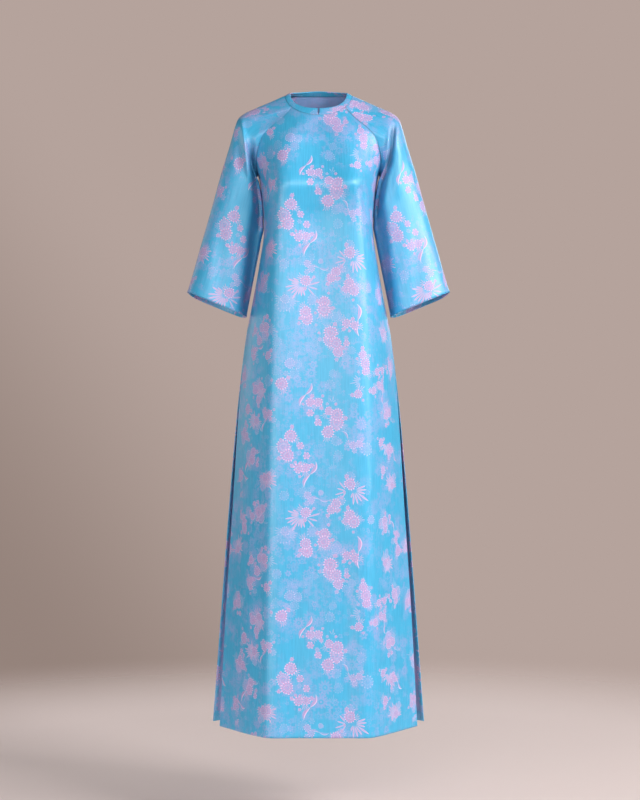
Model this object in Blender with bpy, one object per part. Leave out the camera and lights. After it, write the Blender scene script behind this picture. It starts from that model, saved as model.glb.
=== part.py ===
"""Ao dai tunic in the shape it has when worn: two long panels, raglan sleeves and a low neck band.

Metres. +Z is up, -Y is the front and +X is the wearer's left. The origin is the middle of the
neck opening, at about the height of the points where shoulder and neck meet.
"""

import math

import bmesh
import bpy
import numpy as np

# --- Driving sizes -------------------------------------------------------------------------
WALL = 0.0013  # a panel's thickness
BAND_WALL = 0.0022  # the neck band is two layers of cloth
SEAM_GAP = 0.0003  # between two pieces that are sewn together
UNDERARM_Z = -0.175
SLIT_TOP_Z = -0.500
HEM_Z = -1.363

# The neck seam is a ring in plan, lower at the front than at the back.
NECK_HALF_WIDTH = 0.072
NECK_FRONT = 0.066
NECK_BACK = 0.056
NECK_SIDE_Z = -0.002
NECK_FRONT_DROP = 0.051
NECK_BACK_RISE = 0.008
NECK_SIDE_SOFTNESS = 0.1  # rounds the ring where it passes over the shoulder
FRONT_CORNER = math.radians(53.5)  # where the front raglan seam meets the ring, from centre front
BACK_CORNER = math.radians(140.0)
NECK_REACH = 0.45  # share of the raglan seam over which the panels run in to the ring

BAND_HEIGHTS = (0.0155, 0.0050, 0.0090)  # at the front, side and back
BAND_LEAN = 0.0100  # how far the band's top leans in to the neck
NOTCH_HALF_WIDTH = 0.0042  # the band's ends part at centre front
NOTCH_FOOT = 0.0004

# --- Sections of one half of each panel ----------------------------------------------------
# A section runs flat from the centre to the ridge, bends there and runs on to the side of the
# body, and turn is 1 where it arrives there running straight back. Above the underarm the panel
# ends where the section crosses the raglan seam, at edge degrees round from the centre.
PANEL_COLUMNS = ("z", "side_x", "side_y", "ridge_x", "ridge_y", "centre_y", "turn", "edge")
FRONT_SECTIONS = (
    (-0.0306, 0.1550, 0.0000, 0.0280, -0.0580, -0.0680, 0.80, 54.5),
    (-0.0580, 0.1600, 0.0000, 0.0470, -0.0740, -0.0765, 0.88, 55.2),
    (-0.0790, 0.1600, 0.0000, 0.0605, -0.0845, -0.0845, 0.95, 58.8),
    (-0.1000, 0.1560, 0.0000, 0.0700, -0.0930, -0.0925, 1.00, 63.0),
    (-0.1195, 0.1500, 0.0000, 0.0760, -0.1000, -0.0985, 1.00, 66.5),
    (-0.1350, 0.1450, 0.0000, 0.0790, -0.1060, -0.1040, 1.00, 70.0),
    (-0.1560, 0.1375, 0.0000, 0.0810, -0.1135, -0.1115, 1.00, 77.0),
    (-0.1690, 0.1332, 0.0000, 0.0817, -0.1180, -0.1160, 1.00, 82.5),
    (-0.1750, 0.1305, 0.0000, 0.0820, -0.1200, -0.1180, 1.00, 90.0),
    (-0.2070, 0.1240, 0.0000, 0.0835, -0.1255, -0.1235, 1.00, 90.0),
    (-0.2400, 0.1200, 0.0000, 0.0855, -0.1235, -0.1225, 1.00, 90.0),
    (-0.2890, 0.1175, 0.0000, 0.0880, -0.1170, -0.1175, 1.00, 90.0),
    (-0.3700, 0.1280, 0.0000, 0.0925, -0.1155, -0.1160, 1.00, 90.0),
    (-0.4450, 0.1415, 0.0000, 0.0950, -0.1185, -0.1190, 1.00, 90.0),
    (-0.5000, 0.1520, 0.0000, 0.0965, -0.1210, -0.1215, 0.90, 90.0),
    (-0.6610, 0.1700, 0.0000, 0.1005, -0.1270, -0.1280, 0.50, 90.0),
    (-0.8770, 0.1840, 0.0000, 0.1045, -0.1325, -0.1345, 0.25, 90.0),
    (-1.1360, 0.2010, 0.0000, 0.1075, -0.1380, -0.1405, 0.10, 90.0),
    (-1.3630, 0.2130, 0.0000, 0.1090, -0.1415, -0.1445, 0.05, 90.0),
)
BACK_SECTIONS = (
    (0.0050, 0.0800, 0.0150, 0.0240, 0.0530, 0.0580, 0.80, 46.0),
    (-0.0300, 0.1480, 0.0000, 0.0360, 0.0700, 0.0720, 0.90, 45.9),
    (-0.0600, 0.1520, 0.0000, 0.0500, 0.0850, 0.0850, 0.95, 48.2),
    (-0.0900, 0.1480, 0.0000, 0.0600, 0.0960, 0.0950, 1.00, 51.5),
    (-0.1150, 0.1435, 0.0000, 0.0680, 0.1030, 0.1010, 1.00, 55.9),
    (-0.1400, 0.1385, 0.0000, 0.0740, 0.1070, 0.1045, 1.00, 62.6),
    (-0.1600, 0.1340, 0.0000, 0.0770, 0.1090, 0.1065, 1.00, 73.7),
    (-0.1690, 0.1325, 0.0000, 0.0780, 0.1092, 0.1066, 1.00, 81.0),
    (-0.1750, 0.1305, 0.0000, 0.0790, 0.1090, 0.1065, 1.00, 90.0),
    (-0.2070, 0.1240, 0.0000, 0.0800, 0.1055, 0.1030, 1.00, 90.0),
    (-0.2890, 0.1175, 0.0000, 0.0820, 0.0935, 0.0905, 1.00, 90.0),
    (-0.3700, 0.1280, 0.0000, 0.0860, 0.0935, 0.0910, 1.00, 90.0),
    (-0.4450, 0.1415, 0.0000, 0.0920, 0.1035, 0.1030, 1.00, 90.0),
    (-0.5000, 0.1520, 0.0000, 0.0960, 0.1080, 0.1080, 0.95, 90.0),
    (-0.6610, 0.1728, 0.0100, 0.1040, 0.1150, 0.1160, 0.75, 90.0),
    (-0.8770, 0.1930, 0.0280, 0.1120, 0.1230, 0.1250, 0.50, 90.0),
    (-1.1360, 0.2135, 0.0470, 0.1180, 0.1310, 0.1330, 0.30, 90.0),
    (-1.3630, 0.2310, 0.0620, 0.1220, 0.1380, 0.1400, 0.20, 90.0),
)
# Lengths of a section's Bezier handles.
CENTRE_HANDLE = 0.45  # share of the way from the centre to the ridge
RIDGE_HANDLE = 0.024
RIDGE_HANDLE_LIMIT = 0.4  # share of the way from the centre to the ridge
SIDE_HANDLE = 0.38  # share of the way from the ridge to the side

# --- Sections of a sleeve ------------------------------------------------------------------
# Each is a loop through a point on the shoulder line and one on the underarm line, as deep as
# front and back say. The first lies on the raglan seam, and the last is the cuff.
SLEEVE_COLUMNS = ("station", "top_x", "top_z", "under_x", "under_z", "front", "back")
SLEEVE_SECTIONS = (
    (0.0, 0.0720, -0.0020, 0.1305, -0.1750, 0.0660, 0.0800),
    (1.0, 0.1050, -0.0165, 0.1330, -0.1785, 0.0650, 0.0770),
    (2.0, 0.1350, -0.0288, 0.1336, -0.1825, 0.0635, 0.0730),
    (3.0, 0.1575, -0.0390, 0.1328, -0.1875, 0.0615, 0.0690),
    (4.0, 0.1730, -0.0520, 0.1312, -0.1945, 0.0590, 0.0650),
    (5.0, 0.1800, -0.0700, 0.1290, -0.2035, 0.0570, 0.0620),
    (6.0, 0.1865, -0.0930, 0.1265, -0.2165, 0.0555, 0.0600),
    (7.0, 0.1945, -0.1210, 0.1240, -0.2350, 0.0545, 0.0580),
    (8.0, 0.2080, -0.1640, 0.1217, -0.2620, 0.0535, 0.0565),
    (9.0, 0.2200, -0.2070, 0.1216, -0.2930, 0.0530, 0.0555),
    (10.0, 0.2320, -0.2506, 0.1265, -0.3300, 0.0530, 0.0550),
    (11.0, 0.2445, -0.2940, 0.1338, -0.3680, 0.0535, 0.0550),
    (12.0, 0.2570, -0.3370, 0.1412, -0.4050, 0.0540, 0.0550),
    (13.0, 0.2690, -0.3800, 0.1487, -0.4430, 0.0550, 0.0555),
    (14.0, 0.2832, -0.4265, 0.1555, -0.4790, 0.0560, 0.0560),
)
SLEEVE_SQUARENESS = 2.25  # exponent of a section's outline: 2 is an ellipse
SEAM_REACH = 5.0  # stations over which a sleeve leaves the raglan seam's own line
NECK_ANGLE = math.radians(38.0)  # where the neck seam ends on a section, from its top

# --- Folds ---------------------------------------------------------------------------------
# Soft troughs (depth under 0) and ridges, as straight lines seen from the front or the back.
FOLD_COLUMNS = ("x0", "z0", "x1", "z1", "width", "depth")
FOLDS = {
    ("front_panel", "front"): (
        (-0.119, -0.330, -0.128, -1.500, 0.014, -0.0050),
        (-0.150, -0.420, -0.163, -1.500, 0.018, 0.0030),
        (0.128, -0.400, 0.150, -1.500, 0.020, -0.0035),
        (0.058, -0.900, 0.062, -1.500, 0.020, -0.0035),
        (-0.050, -0.980, -0.056, -1.500, 0.024, -0.0030),
        (0.086, -0.215, 0.108, -0.285, 0.010, -0.0030),
        (-0.086, -0.215, -0.106, -0.290, 0.010, -0.0025),
        (0.000, -0.225, 0.000, -0.330, 0.030, -0.0030),
    ),
    ("back_panel", "back"): (
        (-0.070, -0.480, -0.086, -1.500, 0.026, -0.0070),
        (0.074, -0.440, 0.094, -1.500, 0.026, -0.0065),
        (0.004, -0.620, 0.002, -1.500, 0.030, -0.0050),
        (0.034, -0.260, 0.078, -0.350, 0.016, -0.0035),
        (-0.040, -0.255, -0.080, -0.345, 0.016, -0.0035),
        (0.000, -0.120, 0.000, -0.260, 0.026, -0.0030),
    ),
    ("sleeve_left", "front"): (
        (0.164, -0.080, 0.149, -0.230, 0.0100, -0.0065),
        (0.176, -0.110, 0.166, -0.230, 0.0110, 0.0030),
        (0.205, -0.215, 0.214, -0.500, 0.0140, -0.0035),
        (0.160, -0.270, 0.168, -0.420, 0.0120, -0.0030),
    ),
    ("sleeve_left", "back"): (
        (0.166, -0.090, 0.150, -0.235, 0.0110, -0.0070),
        (0.196, -0.160, 0.212, -0.380, 0.0160, -0.0040),
    ),
    ("sleeve_right", "front"): (
        (-0.158, -0.082, -0.147, -0.225, 0.0095, -0.0060),
        (-0.163, -0.075, -0.147, -0.180, 0.0060, 0.0035),
        (-0.171, -0.085, -0.166, -0.150, 0.0070, -0.0035),
        (-0.206, -0.240, -0.213, -0.500, 0.0150, -0.0035),
        (-0.168, -0.210, -0.176, -0.390, 0.0140, -0.0030),
    ),
    ("sleeve_right", "back"): (
        (-0.166, -0.090, -0.151, -0.240, 0.0110, -0.0070),
        (-0.198, -0.170, -0.216, -0.400, 0.0160, -0.0040),
    ),
}
FOLD_FADE = 0.3  # share of a fold's length over which each of its ends runs out
FOLD_FACING = 0.62  # how far a wall must face the front or the back to take the whole fold
# Distances from a seam or a slit over which folds die away.
SLEEVE_SEAM_HOLD = 0.030
PANEL_TOP_HOLD = (0.020, 0.070)
PANEL_SIDE_HOLD = 0.12  # share of half a panel's width

# --- How finely each piece is divided -------------------------------------------------------
FLAT_COLUMNS = 6  # from a panel's centre to its ridge
WING_COLUMNS = 7  # from the ridge to the panel's edge
RAGLAN_ROWS = 10
RAGLAN_ROUNDING = 0.7  # how far the rows by the raglan seam gather towards the underarm
BODY_ROWS = 10  # from the underarm to the slit's top
BODY_GATHER = 1.35  # over 1, they are closer together at the top
SKIRT_ROWS = 17  # from the slit's top to the hem
NECK_STEPS = 3  # along a sleeve's share of the neck seam, front or back
SLEEVE_STATIONS = (0, 0.8, 1.6, 2.4, 3.1, 3.7, 4.3, 5, 5.8, 6.6, 7.4, 8.3, 9.2, 10.2, 11.4, 12.7, 14)
BAND_ROWS = 2
SEARCH_STEPS = 24  # halvings that find where a section crosses the raglan seam

BROCADE_BLUE = (0.13, 0.53, 0.86, 1.0)
PANELS = ("front_panel", "back_panel")
SLEEVES = ("sleeve_left", "sleeve_right")
BAND = "neck_band"
SHARP_ANGLE = math.radians(50)


# --- Curves and tables ----------------------------------------------------------------------
def smooth_table(columns, rows, at):
    """A table's columns, by name, at the given values of its first one, with no overshoot."""
    rows = np.array(sorted(rows))
    key, values = rows[:, 0], rows[:, 1:]
    step = np.diff(key)[:, None]
    rise = np.diff(values, axis=0) / step
    slope = np.zeros_like(values)
    slope[0], slope[-1] = rise[0], rise[-1]
    both = step[:-1] + step[1:]
    with np.errstate(divide="ignore", invalid="ignore"):
        mean = 3 * both / ((both + step[1:]) / rise[:-1] + (both + step[:-1]) / rise[1:])
    slope[1:-1] = np.where(rise[:-1] * rise[1:] > 0, mean, 0.0)
    at = np.clip(np.asarray(at, float), key[0], key[-1])
    i = np.clip(np.searchsorted(key, at, side="right") - 1, 0, len(key) - 2)
    h = step[i]
    t = (at - key[i])[..., None] / h
    found = (
        (1 + 2 * t) * (1 - t) ** 2 * values[i]
        + t * (1 - t) ** 2 * h * slope[i]
        + t * t * (3 - 2 * t) * values[i + 1]
        + t * t * (t - 1) * h * slope[i + 1]
    )
    return dict(zip(columns[1:], np.moveaxis(found, -1, 0)))


def unit(vectors):
    return vectors / np.maximum(np.linalg.norm(vectors, axis=-1, keepdims=True), 1e-12)


def smoothstep(x):
    x = np.clip(x, 0.0, 1.0)
    return x * x * (3 - 2 * x)


def bezier(points, t):
    a, b, c, d = points
    t = t[..., None]
    return (1 - t) ** 3 * a + 3 * t * (1 - t) ** 2 * b + 3 * t * t * (1 - t) * c + t**3 * d


def mirrored(points):
    """The same points for the other side of the body."""
    return points * np.array([-1.0, 1.0, 1.0])


def neck_ring(angle):
    """The neck seam's points, by angle from centre front towards the wearer's left."""
    c = np.cos(angle)
    soft = NECK_SIDE_SOFTNESS
    rounded = (np.sqrt(c * c + soft**2) - soft) / (math.sqrt(1 + soft**2) - soft)
    depth = (NECK_FRONT + NECK_BACK) / 2 * c + (NECK_FRONT - NECK_BACK) / 2 * rounded
    drop = (NECK_FRONT_DROP + NECK_BACK_RISE) / 2 * c
    drop += (NECK_FRONT_DROP - NECK_BACK_RISE) / 2 * rounded
    return np.stack([NECK_HALF_WIDTH * np.sin(angle), -depth, NECK_SIDE_Z - drop], axis=-1)


# --- Body panels ----------------------------------------------------------------------------
def section_curves(at, outward):
    """The Bezier curves of panel sections: centre to ridge, and ridge to side."""
    centre = np.stack([0 * at["centre_y"], at["centre_y"]], -1)
    ridge = np.stack([at["ridge_x"], at["ridge_y"]], -1)
    side = np.stack([at["side_x"], at["side_y"]], -1)
    out = at["ridge_x"][..., None]
    turn = at["turn"][..., None]
    slant = unit(side - ridge)
    bend = unit(np.array([1.0, 0.0]) + slant)
    arrival = unit(turn * np.array([0.0, -outward]) + (1 - turn) * slant)
    reach = np.linalg.norm(side - ridge, axis=-1)[..., None]
    soft = np.minimum(RIDGE_HANDLE, RIDGE_HANDLE_LIMIT * out)
    along = CENTRE_HANDLE * out * np.array([1.0, 0.0])
    middle = (centre, centre + along, ridge - soft * bend, ridge)
    wing = (ridge, ridge + soft * bend, side - SIDE_HANDLE * reach * arrival, side)
    return middle, wing


def panel_surface(sections, share, z):
    """Points at a share of the way across (-1 to 1, and 0 at the centre), at the heights z."""
    at = smooth_table(PANEL_COLUMNS, sections, z)
    outward = math.copysign(1, sections[-1][PANEL_COLUMNS.index("centre_y")])
    middle, wing = section_curves(at, outward)
    low, high = np.zeros_like(z), np.ones_like(z)
    for _ in range(SEARCH_STEPS):
        cut = (low + high) / 2
        x, y = np.moveaxis(bezier(wing, cut), -1, 0)
        beyond = np.degrees(np.arctan2(x, outward * y)) > at["edge"]
        low, high = np.where(beyond, low, cut), np.where(beyond, cut, high)
    cut = np.where(z > UNDERARM_Z, cut, 1.0)
    s = 2 * np.abs(share)
    flat_part = bezier(middle, np.minimum(s, 1))
    wing_part = bezier(wing, cut * np.maximum(s - 1, 0))
    xy = np.where(s[..., None] < 1, flat_part, wing_part)
    return np.stack([np.sign(share) * xy[..., 0], xy[..., 1], z], -1)


def raglan_shares():
    """How far down the raglan seam each row meets it, closer together towards the underarm."""
    even = np.linspace(0, 1, RAGLAN_ROWS + 1)
    angle = NECK_ANGLE + even * (math.pi - NECK_ANGLE)
    rounded = 1 - (1 + np.cos(angle)) / (1 + math.cos(NECK_ANGLE))
    return RAGLAN_ROUNDING * rounded + (1 - RAGLAN_ROUNDING) * even


def panel_shares():
    """How far across a panel each column is, from the wearer's right edge to the left one."""
    flat = np.linspace(0, 0.5, FLAT_COLUMNS + 1)
    wing = np.linspace(0.5, 1, WING_COLUMNS + 1)[1:]
    half = np.concatenate([flat, wing])
    return np.concatenate([-half[:0:-1], half])


def panel_points(sections, middle_angle, corner):
    """A panel's grid of points, [row, column], from the neck seam down to the hem."""
    shares, down = panel_shares(), raglan_shares()
    top = neck_ring(middle_angle + shares * (corner - middle_angle))
    edge_z = top[-1, 2] + down * (UNDERARM_Z - top[-1, 2])
    centre_z = top[len(top) // 2, 2] + down * (UNDERARM_Z - top[len(top) // 2, 2])
    upper = centre_z[:, None] + (edge_z - centre_z)[:, None] * shares**2
    body = np.linspace(0, 1, BODY_ROWS + 1)[1:] ** BODY_GATHER
    body = UNDERARM_Z + (SLIT_TOP_Z - UNDERARM_Z) * body
    skirt = np.linspace(SLIT_TOP_Z, HEM_Z, SKIRT_ROWS + 1)[1:]
    lower = np.concatenate([body, skirt])[:, None] + 0 * shares
    z = np.concatenate([upper, lower])
    points = panel_surface(sections, shares + 0 * z, z)
    # The top row is the neck seam itself, and the rows below run in to it.
    fade = 1 - smoothstep(down / NECK_REACH)
    points[: len(down)] += fade[:, None, None] * (top - points[0])
    return points


# --- Sleeves --------------------------------------------------------------------------------
def sleeve_surface(angle, station):
    """Points of the left sleeve, by angle from the top of a section towards the back."""
    at = smooth_table(SLEEVE_COLUMNS, SLEEVE_SECTIONS, station)
    power = 2 / SLEEVE_SQUARENESS
    c = np.sign(np.cos(angle)) * np.abs(np.cos(angle)) ** power
    s = np.sign(np.sin(angle)) * np.abs(np.sin(angle)) ** power
    x = (at["top_x"] + at["under_x"]) / 2 + (at["top_x"] - at["under_x"]) / 2 * c
    z = (at["top_z"] + at["under_z"]) / 2 + (at["top_z"] - at["under_z"]) / 2 * c
    return np.stack([x, np.where(s > 0, at["back"] * s, at["front"] * s), z], -1)


def sleeve_points(front, back):
    """The left sleeve's grid of points, [row, column round], from its seams to the cuff.

    Its first row is sewn to the neck band and to the left edges of the two panels given.
    """
    down = slice(0, RAGLAN_ROWS + 1)
    by_neck = neck_ring(np.linspace(math.pi / 2, BACK_CORNER, NECK_STEPS + 1)[:-1])
    by_front = neck_ring(np.linspace(FRONT_CORNER, math.pi / 2, NECK_STEPS + 1)[1:-1])
    seams = (by_neck, back[down, -1], front[down, -1][-2::-1], by_front)
    first = np.concatenate(seams)
    by_seam = (1 - raglan_shares()) * (1 + math.cos(NECK_ANGLE)) - 1
    by_seam = np.arccos(np.clip(by_seam, -1, 1))
    half = np.concatenate([np.linspace(0, NECK_ANGLE, NECK_STEPS + 1)[:-1], by_seam])
    angle = np.concatenate([half, 2 * math.pi - half[-2:0:-1]])
    station = np.array(SLEEVE_STATIONS, float)[:, None]
    grid = sleeve_surface(angle + 0 * station, station + 0 * angle)
    fade = 1 - smoothstep(station / SEAM_REACH)
    return grid + fade[..., None] * (first - grid[0])


# --- Folds and walls ------------------------------------------------------------------------
def grid_normals(points, closed, passes=0):
    """Outward normals of a grid, [row, column]. A closed grid's last column meets its first.

    Each pass evens them out a little, so that a wall between close points doesn't cross itself.
    """
    if closed:
        around = np.roll(points, -1, axis=1) - np.roll(points, 1, axis=1)
    else:
        around = np.gradient(points, axis=1)
    normals = unit(np.cross(np.gradient(points, axis=0), around))
    for _ in range(passes):
        wide = np.pad(normals, ((1, 1), (0, 0), (0, 0)), mode="edge")
        normals = (wide[:-2] + 2 * normals + wide[2:]) / 4
        wide = np.pad(normals, ((0, 0), (1, 1), (0, 0)), mode="wrap" if closed else "edge")
        normals = unit(wide[:, :-2] + 2 * normals + wide[:, 2:])
    return normals


def near_fold(points, fold):
    """1 on a fold's line as seen from the front, and 0 away from it and at its two ends."""
    start = np.array([fold["x0"], fold["z0"]])
    run = np.array([fold["x1"], fold["z1"]]) - start
    to = points[..., [0, 2]] - start
    along = to @ run / (run @ run)
    off = np.linalg.norm(to - np.clip(along, 0, 1)[..., None] * run, axis=-1)
    ends = smoothstep(along / FOLD_FADE) * smoothstep((1 - along) / FOLD_FADE)
    return np.exp(-((off / fold["width"]) ** 2)) * ends


def folded(name, points, held):
    """A piece's points, moved to the front or the back by its folds where it isn't held."""
    normals = grid_normals(points, name in SLEEVES)
    shift = np.zeros(points.shape[:2])
    for side, facing in (("front", -1), ("back", 1)):
        weight = smoothstep(facing * normals[..., 1] / FOLD_FACING) * facing * held
        for row in FOLDS.get((name, side), ()):
            fold = dict(zip(FOLD_COLUMNS, row))
            shift += weight * fold["depth"] * near_fold(points, fold)
    moved = points.copy()
    moved[..., 1] += shift
    return moved


def along_columns(grid):
    """How far each point of a grid is from its first row, along its own column."""
    steps = np.linalg.norm(np.diff(grid, axis=0), axis=-1)
    return np.concatenate([np.zeros((1, grid.shape[1])), np.cumsum(steps, axis=0)])


def cloth_grids():
    """The outer points of the panels and sleeves, with sewn edges still in one place."""
    front = panel_points(FRONT_SECTIONS, 0.0, FRONT_CORNER)
    back = panel_points(BACK_SECTIONS, math.pi, BACK_CORNER)
    sleeve = sleeve_points(front, back)
    grids = {
        "front_panel": front,
        "back_panel": back[:, ::-1],
        "sleeve_left": sleeve,
        "sleeve_right": np.roll(mirrored(sleeve)[:, ::-1], 1, axis=1),
    }
    begins, ends = PANEL_TOP_HOLD
    by_side = smoothstep((1 - np.abs(panel_shares())) / PANEL_SIDE_HOLD)
    for name in PANELS:
        by_top = smoothstep((along_columns(grids[name]) - begins) / (ends - begins))
        grids[name] = folded(name, grids[name], by_top * by_side)
    for name in SLEEVES:
        by_seam = smoothstep(along_columns(grids[name]) / SLEEVE_SEAM_HOLD)
        grids[name] = folded(name, grids[name], by_seam)
    return grids


# --- Neck band ------------------------------------------------------------------------------
def neck_seam(grids):
    """The seam's points, from centre front round by the wearer's right to the front again."""
    front, back, left = (grids[name][0] for name in (*PANELS, "sleeve_left"))
    by_sleeve = np.concatenate([left[1 - NECK_STEPS :], left[:NECK_STEPS]])
    half = np.concatenate([front[len(front) // 2 :], by_sleeve])
    return np.concatenate([mirrored(half), back[::-1], half[::-1]])


def band_points(lower):
    """The neck band's grid of points, [row, column], from its seam to its top edge."""
    height = np.linspace(0, 1, BAND_ROWS + 1)[:, None, None]
    inward = unit(-lower * np.array([1.0, 1.0, 0.0]))
    to_front, to_back = np.clip(inward[:, 1], 0, 1) ** 2, np.clip(-inward[:, 1], 0, 1) ** 2
    front, side, back = BAND_HEIGHTS
    rise = side + (front - side) * to_front + (back - side) * to_back
    upper = lower + BAND_LEAN * inward + rise[:, None] * np.array([0.0, 0.0, 1.0])
    return lower * (1 - height) + upper * height


def cut_notch(grid):
    """Parts the band's two ends at centre front, wider at the top."""
    part = NOTCH_FOOT + (NOTCH_HALF_WIDTH - NOTCH_FOOT) * np.linspace(0, 1, len(grid)) ** 1.5
    grid[:, 0, 0], grid[:, -1, 0] = -part, part


# --- Seams ----------------------------------------------------------------------------------
def meeting_points(grids):
    """The places of every piece's points, by where they lie to a thousandth of a millimetre."""
    met = {}
    for name, grid in grids.items():
        for place in np.ndindex(grid.shape[:2]):
            key = tuple(int(v) for v in np.round(grid[place] / 1e-6))
            met.setdefault(key, []).append((name, place))
    return met


def share_normals(met, normals):
    """Makes the normals of points that lie at one place the same, so that walls meet there."""
    for group in met.values():
        mean = unit(sum(normals[name][place] for name, place in group))
        for name, place in group:
            normals[name][place] = mean


def part_seams(outer, inner, normals, met):
    """Parts every pair of sewn edges by the seam gap, square to the ends of their walls."""
    neighbours = {point: group for group in met.values() for point in group}
    moves = []

    def part(name, columns, inside_row, others):
        points = outer[name][0, columns]
        away = unit(np.cross(np.gradient(points, axis=0), normals[name][0, columns]))
        inwards = np.sign(np.sum(away * (outer[name][inside_row, columns] - points)))
        for column, move in zip(columns, away * inwards * SEAM_GAP / 2):
            here = (0, int(column) % outer[name].shape[1])
            moves.append((name, here, move))
            moves.extend((other, at, -move) for other, at in neighbours[name, here] if other in others)

    for name in SLEEVES:
        part(name, np.arange(NECK_STEPS, outer[name].shape[1] - NECK_STEPS + 1), 2, PANELS)
    part(BAND, np.arange(outer[BAND].shape[1]), 1, PANELS + SLEEVES)
    for name, facing in zip(PANELS, (-1, 1)):
        for row in range(RAGLAN_ROWS, RAGLAN_ROWS + BODY_ROWS + 1):
            for column in (0, outer[name].shape[1] - 1):
                moves.append((name, (row, column), np.array([0.0, facing * SEAM_GAP / 2, 0.0])))
    for name, place, move in moves:
        outer[name][place] += move
        inner[name][place] += move


# --- Meshes ---------------------------------------------------------------------------------
def cloth_material(name):
    made = bpy.data.materials.new(name)
    made.use_nodes = True
    shader = made.node_tree.nodes["Principled BSDF"]
    shader.inputs["Base Color"].default_value = BROCADE_BLUE
    shader.inputs["Roughness"].default_value = 0.42
    shader.inputs["Metallic"].default_value = 0.0
    return made


def close_wall(mesh, out, back, places):
    """Closes a wall's edge between two neighbouring places.

    Both of the walls that meet at a seam are closed in the same way, so that they don't touch.
    """
    high, low = sorted(places, key=lambda place: (-round(out(place).co.z, 5), place))
    mesh.faces.new([out(high), out(low), back(low)])
    mesh.faces.new([out(high), back(low), back(high)])


def wall_object(name, outer, inner, garment):
    """A closed wall between two grids of points, as one object."""
    rows, columns = outer.shape[:2]
    steps = [(c, (c + 1) % columns) for c in range(columns if name in SLEEVES else columns - 1)]
    mesh = bmesh.new()
    sides = [[[mesh.verts.new(point) for point in row] for row in grid] for grid in (outer, inner)]
    for verts, turn in zip(sides, (1, -1)):
        for above, below in zip(verts, verts[1:]):
            for c, d in steps:
                mesh.faces.new([above[c], below[c], below[d], above[d]][::turn])
    out, back = (lambda place, side=side: side[place[0]][place[1]] for side in sides)
    for row in (0, rows - 1):
        for c, d in steps:
            close_wall(mesh, out, back, ((row, c), (row, d)))
    if name not in SLEEVES:
        for column in (0, columns - 1):
            for row in range(rows - 1):
                close_wall(mesh, out, back, ((row, column), (row + 1, column)))
    bmesh.ops.recalc_face_normals(mesh, faces=mesh.faces)
    if mesh.calc_volume(signed=True) < 0:
        bmesh.ops.reverse_faces(mesh, faces=mesh.faces)
    data = bpy.data.meshes.new(name)
    mesh.to_mesh(data)
    mesh.free()
    data.shade_smooth()
    data.set_sharp_from_angle(angle=SHARP_ANGLE)
    data.materials.append(cloth_material(name))
    made = bpy.data.objects.new(name, data)
    bpy.context.scene.collection.objects.link(made)
    made.parent = garment


def build():
    for old in list(bpy.data.objects):
        bpy.data.objects.remove(old)
    garment = bpy.data.objects.new("ao_dai_tunic", None)
    bpy.context.scene.collection.objects.link(garment)
    outer = cloth_grids()
    outer[BAND] = band_points(neck_seam(outer))
    normals = {name: grid_normals(grid, name in SLEEVES, passes=1) for name, grid in outer.items()}
    met = meeting_points(outer)
    share_normals(met, normals)
    walls = {name: BAND_WALL if name == BAND else WALL for name in outer}
    inner = {name: grid - normals[name] * walls[name] for name, grid in outer.items()}
    part_seams(outer, inner, normals, met)
    for band in (outer[BAND], inner[BAND]):
        cut_notch(band)
    for name in outer:
        wall_object(name, outer[name], inner[name], garment)


build()
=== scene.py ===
"""The looks of the ao dai tunic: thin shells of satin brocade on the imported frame.

Metres, but for the tables of sections, folds and figures, which are in millimetres. +Z is up,
-Y is the front and +X is the wearer's left, as in the frame.
"""

import math
from functools import partialmethod

import bmesh
import bpy
import numpy as np
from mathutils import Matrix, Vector

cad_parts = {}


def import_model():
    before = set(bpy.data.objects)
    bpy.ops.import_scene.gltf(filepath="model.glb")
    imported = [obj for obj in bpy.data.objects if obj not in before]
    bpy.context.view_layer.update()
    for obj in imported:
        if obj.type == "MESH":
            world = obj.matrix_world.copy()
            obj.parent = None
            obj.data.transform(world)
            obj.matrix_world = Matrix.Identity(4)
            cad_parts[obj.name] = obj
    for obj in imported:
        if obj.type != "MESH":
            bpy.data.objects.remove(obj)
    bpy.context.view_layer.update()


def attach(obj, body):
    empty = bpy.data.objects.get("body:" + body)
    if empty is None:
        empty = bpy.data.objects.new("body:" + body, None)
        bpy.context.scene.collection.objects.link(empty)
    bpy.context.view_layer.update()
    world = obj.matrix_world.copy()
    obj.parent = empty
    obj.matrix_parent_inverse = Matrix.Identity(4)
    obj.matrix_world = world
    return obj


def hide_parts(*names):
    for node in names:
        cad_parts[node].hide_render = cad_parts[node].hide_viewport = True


PANELS = ("front_panel", "back_panel")
SLEEVES = ("sleeve_left", "sleeve_right")

# --- Driving sizes ---
BAND_WALL = 0.0022  # the neck band is two layers of cloth
UNDERARM_Z = -0.175
SLIT_TOP_Z = -0.500
HEM_Z = -1.363

# The neck seam is a ring in plan, lower at the front than at the back.
NECK_HALF_WIDTH = 0.072
NECK_FRONT = 0.066
NECK_BACK = 0.056
NECK_SIDE_Z = -0.002
NECK_FRONT_DROP = 0.051
NECK_BACK_RISE = 0.008
NECK_SIDE_SOFTNESS = 0.1  # rounds the ring where it passes over the shoulder
FRONT_CORNER = math.radians(53.5)  # where the front raglan seam meets the ring, from centre front
BACK_CORNER = math.radians(140.0)
NECK_REACH = 0.45  # share of the raglan seam over which the panels run in to the ring

BAND_HEIGHTS = (0.0155, 0.0050, 0.0090)  # at the front, side and back
BAND_LEAN = 0.0100  # how far the band's top leans in to the neck
BAND_PUFF = 0.0004  # how far its face swells
NOTCH_HALF_WIDTH = 0.0042  # the band's ends part at centre front
NOTCH_FOOT = 0.0004
NOTCH_SPREAD = 1.5  # how late up the band they part
NOTCH_CORNER = 0.0045  # radius of their upper corners

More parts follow.
